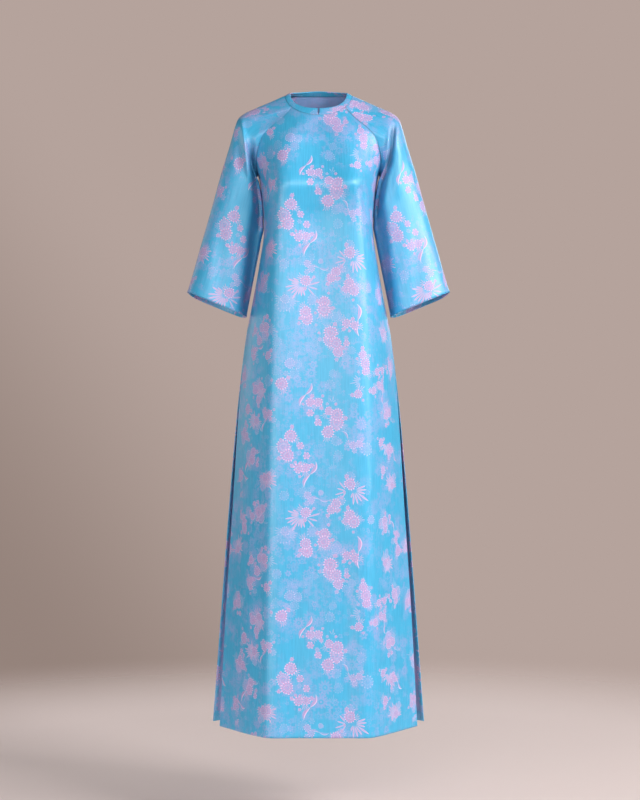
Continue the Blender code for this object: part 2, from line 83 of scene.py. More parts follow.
# --- Sections of one half of each panel ---
# A section runs flat from the centre to the ridge, bends there and runs on to the side of the
# body, and turn is 1 where it arrives there running straight back. Above the underarm the panel
# ends where the section crosses the raglan seam, at edge degrees round from the centre.
# Each column's name stands with its units to a metre, or with 1 where it isn't a length.
PANEL_COLUMNS = dict.fromkeys(("z", "side_x", "side_y", "ridge_x", "ridge_y", "centre_y"), 1000)
PANEL_COLUMNS |= {"turn": 1, "edge": 1}
FRONT_SECTIONS = (
    (-30.6, 155, 0, 28, -58, -68, 0.8, 54.5), (-58, 160, 0, 47, -74, -76.5, 0.88, 55.2),
    (-79, 160, 0, 60.5, -84.5, -84.5, 0.95, 58.8), (-100, 156, 0, 70, -93, -92.5, 1, 63),
    (-119.5, 150, 0, 76, -100, -98.5, 1, 66.5), (-135, 145, 0, 79, -106, -104, 1, 70),
    (-156, 137.5, 0, 81, -113.5, -111.5, 1, 77), (-169, 133.2, 0, 81.7, -118, -116, 1, 82.5),
    (-175, 130.5, 0, 82, -120, -118, 1, 90), (-207, 124, 0, 83.5, -125.5, -123.5, 1, 90),
    (-240, 120, 0, 85.5, -123.5, -122.5, 1, 90), (-289, 117.5, 0, 88, -117, -117.5, 1, 90),
    (-370, 128, 0, 92.5, -115.5, -116, 1, 90), (-445, 141.5, 0, 95, -118.5, -119, 1, 90),
    (-500, 152, 0, 96.5, -121, -121.5, 0.9, 90), (-661, 170, 0, 100.5, -127, -128, 0.5, 90),
    (-877, 184, 0, 104.5, -132.5, -134.5, 0.25, 90), (-1136, 201, 0, 107.5, -138, -140.5, 0.1, 90),
    (-1363, 213, 0, 109, -141.5, -144.5, 0.05, 90),
)
BACK_SECTIONS = (
    (5, 80, 15, 24, 53, 58, 0.8, 46), (-30, 148, 0, 36, 70, 72, 0.9, 45.9),
    (-60, 152, 0, 50, 85, 85, 0.95, 48.2), (-90, 148, 0, 60, 96, 95, 1, 51.5),
    (-115, 143.5, 0, 68, 103, 101, 1, 55.9), (-140, 138.5, 0, 74, 107, 104.5, 1, 62.6),
    (-160, 134, 0, 77, 109, 106.5, 1, 73.7), (-169, 132.5, 0, 78, 109.2, 106.6, 1, 81),
    (-175, 130.5, 0, 79, 109, 106.5, 1, 90), (-207, 124, 0, 80, 105.5, 103, 1, 90),
    (-289, 117.5, 0, 82, 93.5, 90.5, 1, 90), (-370, 128, 0, 86, 93.5, 91, 1, 90),
    (-445, 141.5, 0, 92, 103.5, 103, 1, 90), (-500, 152, 0, 96, 108, 108, 0.95, 90),
    (-661, 172.8, 10, 104, 115, 116, 0.75, 90), (-877, 193, 28, 112, 123, 125, 0.5, 90),
    (-1136, 213.5, 47, 118, 131, 133, 0.3, 90), (-1363, 231, 62, 122, 138, 140, 0.2, 90),
)
# Lengths of a section's Bezier handles.
CENTRE_HANDLE = 0.45  # share of the way from the centre to the ridge
RIDGE_HANDLE = 0.024
RIDGE_HANDLE_LIMIT = 0.4  # share of the way from the centre to the ridge
SIDE_HANDLE = 0.38  # share of the way from the ridge to the side

# --- Sections of a sleeve ---
# Each is a loop through a point on the shoulder line and one on the underarm line, as deep as
# front and back say. The first lies on the raglan seam, and the last is the cuff.
SLEEVE_COLUMNS = {"station": 1}
SLEEVE_COLUMNS |= dict.fromkeys(("top_x", "top_z", "under_x", "under_z", "front", "back"), 1000)
SLEEVE_SECTIONS = (
    (0, 72, -2, 130.5, -175, 66, 80), (1, 105, -16.5, 133, -178.5, 65, 77),
    (2, 135, -28.8, 133.6, -182.5, 63.5, 73), (3, 157.5, -39, 132.8, -187.5, 61.5, 69),
    (4, 173, -52, 131.2, -194.5, 59, 65), (5, 180, -70, 129, -203.5, 57, 62),
    (6, 186.5, -93, 126.5, -216.5, 55.5, 60), (7, 194.5, -121, 124, -235, 54.5, 58),
    (8, 208, -164, 121.7, -262, 53.5, 56.5), (9, 220, -207, 121.6, -293, 53, 55.5),
    (10, 232, -250.6, 126.5, -330, 53, 55), (11, 244.5, -294, 133.8, -368, 53.5, 55),
    (12, 257, -337, 141.2, -405, 54, 55), (13, 269, -380, 148.7, -443, 55, 55.5),
    (14, 283.2, -426.5, 155.5, -479, 56, 56),
)
SLEEVE_SQUARENESS = 2.25  # exponent of a section's outline: 2 is an ellipse
SEAM_REACH = 5.0  # stations over which a sleeve leaves the raglan seam's own line
NECK_ANGLE = math.radians(38.0)  # where the neck seam ends on a section, from its top

# --- Folds ---
# Soft troughs (depth under 0) and ridges, as straight lines seen from the front or the back:
# x and z of the line's start, x and z of its end, the fold's width and its depth, in millimetres.
FOLDS = {
    ("front_panel", "front"): (
        (-119, -330, -128, -1500, 14, -5), (-150, -420, -163, -1500, 18, 3),
        (128, -400, 150, -1500, 20, -3.5), (58, -900, 62, -1500, 20, -3.5),
        (-50, -980, -56, -1500, 24, -3), (86, -190, 106, -290, 7, -4.5),
        (97, -190, 116, -300, 5.5, 3.2), (-88, -190, -110, -300, 7.5, -4.2),
        (-99, -190, -121, -300, 5.5, 2.8), (-150, -208, 150, -206, 24, 6.2),
        (30, -206, 135, -203, 18, 2.6), (0, -240, 0, -330, 30, -3),
    ),
    ("back_panel", "back"): (
        (-70, -480, -86, -1500, 26, -7), (74, -440, 94, -1500, 26, -6.5),
        (4, -620, 2, -1500, 30, -5), (34, -260, 78, -350, 16, -3.5),
        (-40, -255, -80, -345, 16, -3.5), (0, -120, 0, -260, 26, -3),
    ),
    ("sleeve_left", "front"): (
        (163, -60, 150, -180, 5, -10.5), (156.5, -110, 122.5, -290, 6.8, -12.5),
        (127, -190, 160, -540, 11, -11), (152, -85, 135, -200, 5, 5),
        (176, -95, 166, -240, 8.5, 4.5), (205, -215, 214, -500, 14, -3.5),
        (160, -270, 168, -420, 12, -3),
    ),
    ("sleeve_left", "back"): (
        (166, -90, 150, -235, 11, -7), (196, -160, 212, -380, 16, -4),
    ),
    ("sleeve_right", "front"): (
        (-144, -85, -129, -310, 7.5, -14), (-127, -190, -160, -540, 11, -13),
        (-167, -40, -144, -215, 5.5, 8.5), (-175, -70, -167, -180, 6.5, -5),
        (-206, -240, -213, -500, 15, -3.5), (-168, -210, -176, -390, 14, -3),
    ),
    ("sleeve_right", "back"): (
        (-166, -90, -151, -240, 11, -7), (-198, -170, -216, -400, 16, -4),
    ),
}
FOLD_FADE = 0.3  # share of a fold's length over which each of its ends runs out
FOLD_FACING = 0.62  # how far a wall must face the front or the back to take the whole fold
# Distances from a seam or a slit over which folds die away.
SLEEVE_SEAM_HOLD = 0.015
PANEL_TOP_HOLD = (0.020, 0.070)
PANEL_SIDE_HOLD = 0.12  # share of half a panel's width
SHARP_CREASE = -9  # a trough deeper than this takes painted dark shade
CREASE_FRONT = 0.020  # how far forward of the middle a crease's painted shade is full
# How strong the painted shade in a sharp crease is.
CREASE_SHADE = 1.8

# Just under the arm the sleeve falls in against the body: at a height, over a reach, by an amount.
LEANS = ((-0.228, 0.060, 0.0046), (-0.188, 0.012, 0.0014), (-0.288, 0.012, 0.0018))
LEAN_FACING = 0.8  # how far a wall must face the body to lean in fully
SLEEVE_LEAN_HOLD = 0.012  # distance from the raglan seam over which it stays sewn
CUFF_DROP = 0.0058  # the back of a cuff hangs lower than the front
CUFF_DROP_REACH = 0.060
CUFF_DROP_FACING = 0.9

# --- How finely each piece is divided ---
FLAT_COLUMNS = 18  # from a panel's centre to its ridge
WING_COLUMNS = 26  # from the ridge to the panel's edge
RAGLAN_ROWS = 44
RAGLAN_ROUNDING = 0.7  # how far the rows by the raglan seam gather towards the underarm
BODY_ROWS = 66  # from the underarm to the slit's top
SKIRT_ROWS = 172  # from the slit's top to the hem
NECK_STEPS = 10  # along a sleeve's share of the neck seam, front or back
SLEEVE_ROWS = 120
BAND_ROWS = 8
BAND_TOP_STEPS = 6
SEAM_STATIONS = (0.03, 0.08)
EDGE_SHARES = (0.004, 0.010)  # extra rows and columns beside the sewn edges, where the cloth dips
SEARCH_STEPS = 24  # halvings that find where a section crosses the raglan seam
FLAT_STEP = 4  # every fourth row and column of a sleeve is laid flat, and the rest follow
FLAT_PASSES = 1000
SPRING_GIVE = 0.2

# --- Edges and hems ---
CLOTH = 0.0006  # thickness of one layer
SEAM_DIP = 0.0004  # how far the cloth sinks at a seam
SEAM_DIP_REACH = 0.0022  # and how far from it
HEM_ROLL = 0.0007  # how far a turned edge rounds out
HEM_ROLL_REACH = 0.0035
LAP_LIFT = 0.0009  # the front panel lies over the left sleeve where the tunic opens
LAP_REACH = 0.0088
LAP_FADE = 0.02  # height over which the lap ends above the underarm
# How dark the painted shadow is along the front panel's lapped edge, where it lies over the sleeve.
LAP_SHADE = 1.6
PLAIN_SEAM_SHADE = 0.14  # how dark the painted shade at a plain seam is, beside the lapped one
HEM_STEPS = (0.0, 0.06, 0.5, 0.94, 1.0)  # shares of a hem's depth
HEM_LIFTS = (0.0006, 0.0010, 0.0009, 0.0010, 0.0003)  # how far it stands off the wrong side
HEM_FOOT = 0.00005
HEM_ROWS = 11  # rows of a piece that its hem reaches over
SLIT_HEM = 0.009
PANEL_HEM = 0.022
CUFF_HEM = 0.020
# Where each piece was cut from the cloth, across and down, in metres.
CUT_FROM = {
    "front_panel": (0.0, 0.0),
    "back_panel": (0.245, 0.120),
    "sleeve_left": (0.045, -0.120),
    "sleeve_right": (-0.146, -0.123),
    "neck_band": (0.060, 0.300),
}

# --- The woven figures ---
REPEAT = np.array([0.490, 0.485])  # across and down the cloth
LAYERS = {"curl": 3, "leaf": 4, "flower": 6}  # how many figures of a kind may lie on one spot
NOWHERE = (9.0, 9.0, 5.0, 0.0)
HALO = 1.6  # how far past its edge a figure still tints the cloth
# The blossoms listed by tone: across and down the cloth in millimetres, size, petals.
FLOWERS = {
    0.25: (
        (-89, 560, 11, 12), (-32, 520, 9, 12), (41, 252, 11, 12), (-33, 329, 11, 12),
        (200, 267, 11, 12),
    ),
    0.3: (
        (-73, 423, 15, 12), (-51, 566, 11, 12), (-22, 514, 9, 12), (-9, 503, 9, 12),
        (-87, 499, 11, 12), (58, 531, 9, 12), (70, 518, 9, 12), (24, 589, 11, 12),
        (30, 566, 9, 12), (37, 222, 11, 12), (66, 296, 11, 12), (-72, 336, 11, 12),
        (41, 447, 11, 12), (90, 188, 11, 12), (-109, 581, 13, 12),
    ),
    0.35: ((-12, 411, 13, 12), (103, 239, 15, 12)),
    0.4: ((-40, 247, 5, 6), (47, 346, 11, 12)),
    0.45: ((113, 387, 11, 12), (-177, 374, 13, 14)),
    0.5: ((-3, 172, 5, 6), (58, 492, 5, 6), (5, 330, 6, 12)),
    0.62: ((38, 184, 16, 16), (-74, 234, 16, 16), (23, 496, 15, 16), (59, 389, 10, 12)),
    0.7: ((41, 521, 12, 14), (-143, 496, 11, 12)),
    0.75: ((22, 160, 10, 12), (-24, 452, 14, 14), (101, 560, 11, 12)),
    0.8: ((100, 545, 13, 14), (-108, 299, 10, 12)),
    0.85: ((20, 203, 14, 14), (27, 365, 11, 12), (65, 377, 12, 14), (-1, 183, 8, 6)),
    0.9: (
        (37, 503, 13, 14), (84, 609, 10, 12), (-110, 528, 10, 12), (-144, 137, 9, 10),
        (-161, 382, 9, 12), (-269, 459, 13, 14), (-163, 474, 10, 12),
    ),
    0.95: (
        (-58, 211, 14, 14), (12, 416, 13, 14), (161, 559, 9, 10), (152, 226, 10, 12),
        (160, 285, 11, 12), (66, 312, 13, 14),
    ),
    1: (
        (39, 167, 14, 14), (-65, 252, 14, 14), (25, 480, 15, 16), (36, 353, 11, 12),
        (74, 391, 13, 14), (11, 432, 14, 14), (-27, 436, 13, 14), (94, 526, 10, 12),
        (138, 562, 9, 10), (124, 602, 9, 12), (-77, 587, 14, 14), (-27, 371, 12, 14),
        (-155, 600, 11, 12), (-188, 156, 13, 14), (-194, 409, 13, 14), (-17, 141, 10, 9),
        (0, 141, 10, 9), (-42, 279, 11, 9), (-26, 278, 10, 9), (59, 461, 10, 9), (76, 465, 10, 9),
        (-17, 163, 8, 6), (-38, 232, 8, 6), (-25, 253, 8, 6), (59, 503, 7, 6),
    ),
}
FIGURE_COLUMNS = ("kind", "across", "down", "size", "turn", "parts", "tone")
# Leaves and curls, listed as FIGURE_COLUMNS says after its first.
LEAVES_AND_CURLS = {
    "leaf": (
        (-10, 532, 22, 0, 8, 0.2), (90, 413, 15, 330, 4, 0.25), (149, 619, 15, 30, 4, 0.25),
        (-132, 560, 17, 20, 6, 0.25), (31, 281, 17, 10, 6, 0.3), (89, 583, 24, 90, 8, 0.5),
        (29, 142, 15, 350, 3, 0.6), (-195, 312, 13, 0, 4, 0.8), (-218, 332, 19, 210, 8, 0.8),
        (60, 327, 32, 90, 4, 0.9), (-26, 382, 37, 270, 4, 0.9), (214, 188, 17, 0, 4, 0.9),
        (106, 602, 17, 270, 3, 0.9), (175, 228, 32, 180, 10, 0.95), (74, 325, 39, 225, 8, 1),
        (-36, 378, 39, 125, 10, 1),
    ),
    "curl": (
        (-27, 610, 27, 161, 1, 1), (-18, 292, 30, 163, 1, 1), (83, 454, 34, 191, 1, 1),
        (-178, 266, 30, 150, 1, 1),
    ),
}
# Sprays that come back in several places, each a few figures round its own middle.
SPRAYS = {
    "cluster": (
        ("curl", 22, 8, 20, 70, 4, 0.7), ("curl", -20, 26, 18, 200, 4, 0.6),
        ("flower", 17, -20, 7, 0, 6, 0.9), ("flower", 24, -8, 6, 0, 6, 0.8),
        ("leaf", -12, -8, 26, 60, 7, 0.5), ("flower", 12, 16, 12, 0, 14, 0.85),
        ("flower", -12, 14, 15, 0, 16, 0.6), ("flower", 0, 0, 14, 0, 14, 1),
    ),
    "bamboo": (
        ("flower", 24, 12, 9, 0, 12, 0.55), ("leaf", -2, 4, 38, 150, 12, 0.95),
        ("leaf", 4, 0, 30, 270, 8, 0.85), ("flower", 0, 0, 12, 0, 14, 1),
    ),
    "twig": (
        ("curl", 16, 20, 26, 25, 1, 0.9), ("flower", -16, 18, 8, 0, 6, 0.5),
        ("flower", 10, -12, 7, 0, 6, 0.8), ("flower", -7, 0, 10, 0, 9, 1),
        ("flower", 9, 2, 10, 0, 9, 0.95),
    ),
}
SPRAY_SCALE = 0.84
# What grows round each large blossom, its distance in the blossom's own radii.
COMPANIONS = (
    ("flower", 1.35, 0, 4.6, 0, 6, 0.85), ("leaf", 0.8, 0, 15, 0, 5, 0.75),
    ("flower", 1.6, 0, 3.4, 0, 6, 0.75), ("curl", 1.3, 0, 9, 0, 3, 0.65),
)
COMPANION_HOST = (8, 0.55)  # a blossom larger and brighter than this has companions
COMPANION_TURNS = (2.4, 2.1)  # from one host to the next, and from one companion to the next
# Each spray's place, its turn in degrees, 1 or -1 where it is turned over, and its strength.
STREWN = (
    ("cluster", -205, 205, 20, 1, 0.9), ("bamboo", -150, 180, 300, 1, 0.8),
    ("twig", -110, 165, 10, -1, 0.8), ("cluster", -165, 262, 200, -1, 0.85),
    ("twig", -222, 300, 60, 1, 0.9), ("bamboo", -118, 300, 40, -1, 0.85),
    ("cluster", -140, 372, 80, 1, 0.9), ("twig", -205, 388, 150, -1, 0.8),
    ("bamboo", -225, 455, 180, 1, 0.85), ("cluster", -118, 468, 310, -1, 0.85),
    ("twig", -165, 525, 90, 1, 0.8), ("cluster", -215, 570, 240, 1, 0.9),
    ("bamboo", -135, 592, 330, -1, 0.8), ("cluster", 175, 168, 140, -1, 0.9),
    ("twig", 190, 245, 30, 1, 0.9), ("bamboo", 200, 318, 210, -1, 0.85),
    ("cluster", 165, 392, 330, 1, 0.85), ("twig", 215, 430, 250, -1, 0.8),
    ("bamboo", 165, 480, 100, 1, 0.8), ("cluster", 200, 548, 60, -1, 0.9),
    ("twig", 150, 590, 350, 1, 0.8), ("twig", 80, 230, 200, 1, 0.6),
    ("twig", -20, 340, 120, -1, 0.55), ("cluster", 20, 440, 30, 1, 0.4),
    ("bamboo", -70, 410, 20, -1, 0.45), ("cluster", -60, 545, 120, -1, 0.45),
)

# --- Cloth, stage, light and camera ---
# Linear colours.
GROUND = (0.055, 0.455, 0.740, 1)
GROUND_DEEP = (0.022, 0.310, 0.590, 1)
LILAC = (0.355, 0.385, 0.740, 1)
PINK = (0.640, 0.290, 0.570, 1)
LIGHT_THREAD = (0.860, 0.740, 0.900, 1)
WRONG_SIDE = (0.330, 0.330, 0.640, 1)
# Navy painted shade for the seams, the lap's edge and deep creases.
PAINTED_SHADE = (0.020, 0.110, 0.230, 1)
SATIN = {
    "Anisotropic": 0.4,
    "Specular IOR Level": 0.85,
    "Sheen Weight": 0.03,
    "Sheen Roughness": 0.45,
    "Sheen Tint": (0.75, 0.90, 1.0, 1),
}
RIGHT_ROUGHNESS = 0.37
WRONG_ROUGHNESS = 0.52
WARP_PITCH = 0.0009  # metres between the fine lines that the satin's threads make
WEFT_PITCH = 0.0007
# Faint small blossoms in the ground: how far apart, how many of the places have one, how large,
# with how many petals, and how strong.
GHOSTS = (
    (0.029, 0.62, 0.0160, 12.0, 0.80),
    (0.017, 0.62, 0.0115, 6.0, 0.80),
    (0.0085, 0.50, 0.0056, 5.0, 0.60),
)

BACKDROP_COLOUR = (0.462, 0.366, 0.333, 1)
# The backdrop's painted shade towards its low left.
PAINTED_CORNER_SHADE = (0.300, 0.228, 0.200, 1)
BACKDROP_REACH = 16.0
FLOOR_SURFACE = {"Base Color": (0.84, 0.71, 0.68, 1), "Roughness": 0.95, "Specular IOR Level": 0.1}
FLOOR_Z = -1.56
FLOOR_MIDDLE = (0.0, 0.3)
FLOOR_FADE = (1.10, 2.30)  # distances from its middle over which the floor runs out
FLOOR_REACH = 2.35

# Each light's name, place, target, size, power, colour and spread in degrees.
LIGHTS = (
    ("key", (3.3, -2.8, 1.4), (0, 0, -0.6), (1.7, 1.7), 153, (1, 0.99, 0.98), 180),
    ("side", (4.2, -0.9, 0.5), (0, 0, -0.6), (1.3, 2.4), 12, (1, 0.98, 0.96), 64),
    ("fill", (-2.6, -4.0, -0.9), (0, 0, -0.8), (2.4, 1.8), 76, (0.98, 0.99, 1), 180),
    ("bust", (0.2, -4.3, 0.66), (0, 0, -0.4), (3.2, 0.24), 59, (1, 1, 1), 180),
    ("back", (1.2, 4.4, 1.0), (0, 0, -0.7), (2.6, 2.6), 90, (1, 0.99, 0.98), 180),
    ("back_fill", (-3.4, 2.6, 0.2), (0, 0, -0.7), (2.0, 2.0), 20, (1, 0.99, 0.98), 180),
)
WORLD_COLOUR = (1.0, 0.97, 0.95, 1)
WORLD_STRENGTH = 0.10
CAMERA_PLACE = (0.0032, -4.0, -0.6588)
CAMERA_LENS = 83.33
CAMERA_SENSOR = 36


# --- Curves and tables ---
def smooth_table(columns, rows, at):
    """A table's columns, by name, at the given values of its first one, with no overshoot."""
    rows = np.array(sorted(rows)) / list(columns.values())
    key, values = rows[:, 0], rows[:, 1:]
    step = np.diff(key)[:, None]
    rise = np.diff(values, axis=0) / step
    slope = np.zeros_like(values)
    slope[0], slope[-1] = rise[0], rise[-1]
    both = step[:-1] + step[1:]
    with np.errstate(divide="ignore", invalid="ignore"):
        mean = 3 * both / ((both + step[1:]) / rise[:-1] + (both + step[:-1]) / rise[1:])
    slope[1:-1] = np.where(rise[:-1] * rise[1:] > 0, mean, 0.0)
    at = np.clip(np.asarray(at, float), key[0], key[-1])
    i = np.clip(np.searchsorted(key, at, side="right") - 1, 0, len(key) - 2)
    h = step[i]
    t = (at - key[i]) / h[..., 0]
    start, end = values[i], values[i + 1]
    found = bezier((start, start + h * slope[i] / 3, end - h * slope[i + 1] / 3, end), t)
    return dict(zip(list(columns)[1:], np.moveaxis(found, -1, 0)))


def unit(vectors):
    return vectors / np.maximum(np.linalg.norm(vectors, axis=-1, keepdims=True), 1e-12)


def smoothstep(x):
    x = np.clip(x, 0.0, 1.0)
    return x * x * (3 - 2 * x)


def bell(distance, reach):
    return np.exp(-((distance / reach) ** 2))


def lengths_along(grid, axis=0):
    """How far each point of a grid is from the first one of its column, or its row on axis 1."""
    steps = np.linalg.norm(np.diff(grid, axis=axis), axis=-1)
    return np.insert(np.cumsum(steps, axis=axis), 0, 0.0, axis=axis)


def bezier(points, t):
    a, b, c, d = points
    t = t[..., None]
    return (1 - t) ** 3 * a + 3 * t * (1 - t) ** 2 * b + 3 * t * t * (1 - t) * c + t**3 * d


def mirrored(points):
    """The same points for the other side of the body."""
    return points * np.array([-1.0, 1.0, 1.0])


def neck_ring(angle):
    """The neck seam's points, by angle from centre front towards the wearer's left."""
    c = np.cos(angle)
    soft = NECK_SIDE_SOFTNESS
    rounded = (np.sqrt(c * c + soft**2) - soft) / (math.sqrt(1 + soft**2) - soft)
    depth = (NECK_FRONT + NECK_BACK) / 2 * c + (NECK_FRONT - NECK_BACK) / 2 * rounded
    drop = (NECK_FRONT_DROP + NECK_BACK_RISE) / 2 * c
    drop += (NECK_FRONT_DROP - NECK_BACK_RISE) / 2 * rounded
    return np.stack([NECK_HALF_WIDTH * np.sin(angle), -depth, NECK_SIDE_Z - drop], axis=-1)


# --- Body panels ---
def section_curves(at, outward):
    """The Bezier curves of panel sections: centre to ridge, and ridge to side."""
    centre = np.stack([0 * at["centre_y"], at["centre_y"]], -1)
    ridge = np.stack([at["ridge_x"], at["ridge_y"]], -1)
    side = np.stack([at["side_x"], at["side_y"]], -1)
    out, turn = at["ridge_x"][..., None], at["turn"][..., None]
    slant = unit(side - ridge)
    bend = unit(np.array([1.0, 0.0]) + slant)
    arrival = unit(turn * np.array([0.0, -outward]) + (1 - turn) * slant)
    reach = np.linalg.norm(side - ridge, axis=-1)[..., None]
    soft = np.minimum(RIDGE_HANDLE, RIDGE_HANDLE_LIMIT * out)
    along = CENTRE_HANDLE * out * np.array([1.0, 0.0])
    middle = (centre, centre + along, ridge - soft * bend, ridge)
    wing = (ridge, ridge + soft * bend, side - SIDE_HANDLE * reach * arrival, side)
    return middle, wing


def panel_surface(sections, share, z):
    """Points at a share of the way across (-1 to 1, and 0 at the centre), at the heights z."""
    at = smooth_table(PANEL_COLUMNS, sections, z)
    outward = np.sign(at["centre_y"][-1, 0])
    middle, wing = section_curves(at, outward)
    low, high = np.zeros_like(z), np.ones_like(z)
    for _ in range(SEARCH_STEPS):
        cut = (low + high) / 2
        x, y = np.moveaxis(bezier(wing, cut), -1, 0)
        beyond = np.degrees(np.arctan2(x, outward * y)) > at["edge"]
        low, high = np.where(beyond, low, cut), np.where(beyond, cut, high)
    cut = np.where(z > UNDERARM_Z, cut, 1.0)
    s = 2 * np.abs(share)
    flat_part = bezier(middle, np.minimum(s, 1))
    wing_part = bezier(wing, cut * np.maximum(s - 1, 0))
    xy = np.where(s[..., None] < 1, flat_part, wing_part)
    return np.stack([np.sign(share) * xy[..., 0], xy[..., 1], z], -1)


def raglan_shares():
    """How far down the raglan seam each row meets it, closer together towards the underarm."""
    even = np.concatenate([[0, *EDGE_SHARES], np.linspace(0, 1, RAGLAN_ROWS + 1)[1:]])
    angle = NECK_ANGLE + even * (math.pi - NECK_ANGLE)
    rounded = 1 - (1 + np.cos(angle)) / (1 + math.cos(NECK_ANGLE))
    return RAGLAN_ROUNDING * rounded + (1 - RAGLAN_ROUNDING) * even


def panel_shares():
    """How far across a panel each column is, from the wearer's right edge to the left one."""
    flat = np.linspace(0, 0.5, FLAT_COLUMNS + 1)
    wing = np.linspace(0.5, 1, WING_COLUMNS + 1)[1:-1]
    half = np.concatenate([flat, wing, 1 - np.array(EDGE_SHARES[::-1]), [1]])
    return np.concatenate([-half[:0:-1], half])


def panel_points(sections, middle_angle, corner):
    """A panel's grid of points, [row, column], from the neck seam down to the hem."""
    shares, down = panel_shares(), raglan_shares()
    top = neck_ring(middle_angle + shares * (corner - middle_angle))
    centre_z, edge_z = (z + down * (UNDERARM_Z - z) for z in (top[len(top) // 2, 2], top[-1, 2]))
    upper = centre_z[:, None] + (edge_z - centre_z)[:, None] * shares**2
    body = np.linspace(UNDERARM_Z, SLIT_TOP_Z, BODY_ROWS + 1)[1:]
    skirt = np.linspace(SLIT_TOP_Z, HEM_Z, SKIRT_ROWS + 1)[1:]
    lower = np.concatenate([body, skirt])[:, None] + 0 * shares
    z = np.concatenate([upper, lower])
    points = panel_surface(sections, shares + 0 * z, z)
    # The top row is the neck seam itself, and the rows below run in to it.
    fade = 1 - smoothstep(down / NECK_REACH)
    points[: len(down)] += fade[:, None, None] * (top - points[0])
    return points


# --- Sleeves ---
def sleeve_surface(angle, station):
    """Points of the left sleeve, by angle from the top of a section towards the back."""
    at = smooth_table(SLEEVE_COLUMNS, SLEEVE_SECTIONS, station)
    c, s = (
        np.sign(part) * np.abs(part) ** (2 / SLEEVE_SQUARENESS)
        for part in (np.cos(angle), np.sin(angle))
    )
    x, z = (
        (at[f"top_{axis}"] + at[f"under_{axis}"]) / 2
        + (at[f"top_{axis}"] - at[f"under_{axis}"]) / 2 * c
        for axis in "xz"
    )
    return np.stack([x, np.where(s > 0, at["back"] * s, at["front"] * s), z], -1)


def sleeve_points(front, back):
    """The left sleeve's grid of points, [row, column round], from its seams to the cuff.

    Its first row is sewn to the neck band and to the left edges of the two panels given.
    """
    shares = raglan_shares()
    by_neck = neck_ring(np.linspace(math.pi / 2, BACK_CORNER, NECK_STEPS + 1)[:-1])
    by_front = neck_ring(np.linspace(FRONT_CORNER, math.pi / 2, NECK_STEPS + 1)[1:-1])
    down = slice(0, len(shares))
    first = np.concatenate([by_neck, back[down, -1], front[down, -1][-2::-1], by_front])
    by_seam = np.arccos(np.clip((1 - shares) * (1 + math.cos(NECK_ANGLE)) - 1, -1, 1))
    half = np.concatenate([np.linspace(0, NECK_ANGLE, NECK_STEPS + 1)[:-1], by_seam])
    angle = np.concatenate([half, 2 * math.pi - half[-2:0:-1]])
    even = np.linspace(0, SLEEVE_SECTIONS[-1][0], SLEEVE_ROWS + 1)[1:]
    station = np.concatenate([[0, *SEAM_STATIONS], even])[:, None]
    grid = sleeve_surface(angle + 0 * station, station + 0 * angle)
    fade = 1 - smoothstep(station / SEAM_REACH)
    return grid + fade[..., None] * (first - grid[0])


# --- Folds ---
def grid_normals(points, closed, passes=0):
    """Outward normals of a grid, [row, column]. A closed grid's last column meets its first.

    Each pass evens them out a little, so that a wall between close points doesn't cross itself.
    """
    if closed:
        around = np.roll(points, -1, axis=1) - np.roll(points, 1, axis=1)
    else:
        around = np.gradient(points, axis=1)
    normals = unit(np.cross(np.gradient(points, axis=0), around))
    for _ in range(passes):
        wide = np.pad(normals, ((1, 1), (0, 0), (0, 0)), mode="edge")
        normals = (wide[:-2] + 2 * normals + wide[2:]) / 4
        wide = np.pad(normals, ((0, 0), (1, 1), (0, 0)), mode="wrap" if closed else "edge")
        normals = unit(wide[:, :-2] + 2 * normals + wide[:, 2:])
    return normals


def near_fold(points, fold):
    """1 on a fold's line as seen from the front, and 0 away from it and at its two ends."""
    x0, z0, x1, z1, width, _ = np.array(fold) / 1000
    start, run = np.array([x0, z0]), np.array([x1 - x0, z1 - z0])
    to = points[..., [0, 2]] - start
    along = to @ run / (run @ run)
    off = np.linalg.norm(to - np.clip(along, 0, 1)[..., None] * run, axis=-1)
    return bell(off, width) * smoothstep(along / FOLD_FADE) * smoothstep((1 - along) / FOLD_FADE)


def folded(name, points, held):
    """A piece's points, moved to the front or the back by its folds where it isn't held."""
    normals = grid_normals(points, name in SLEEVES)
    moved = points.copy()
    for side, facing in (("front", -1), ("back", 1)):
        weight = smoothstep(facing * normals[..., 1] / FOLD_FACING) * facing * held
        for fold in FOLDS.get((name, side), ()):
            moved[..., 1] += weight * fold[-1] / 1000 * near_fold(points, fold)
    return moved


def crease_shade(name, points):
    """How much painted shade each point of the front takes from lying deep in a sharp crease, where
    little light gets in.
    """
    shade = np.zeros(points.shape[:2])
    for fold in FOLDS.get((name, "front"), ()):
        if fold[-1] < SHARP_CREASE:
            shade = np.maximum(shade, near_fold(points, fold))
    return shade * smoothstep(-points[..., 1] / CREASE_FRONT) * CREASE_SHADE


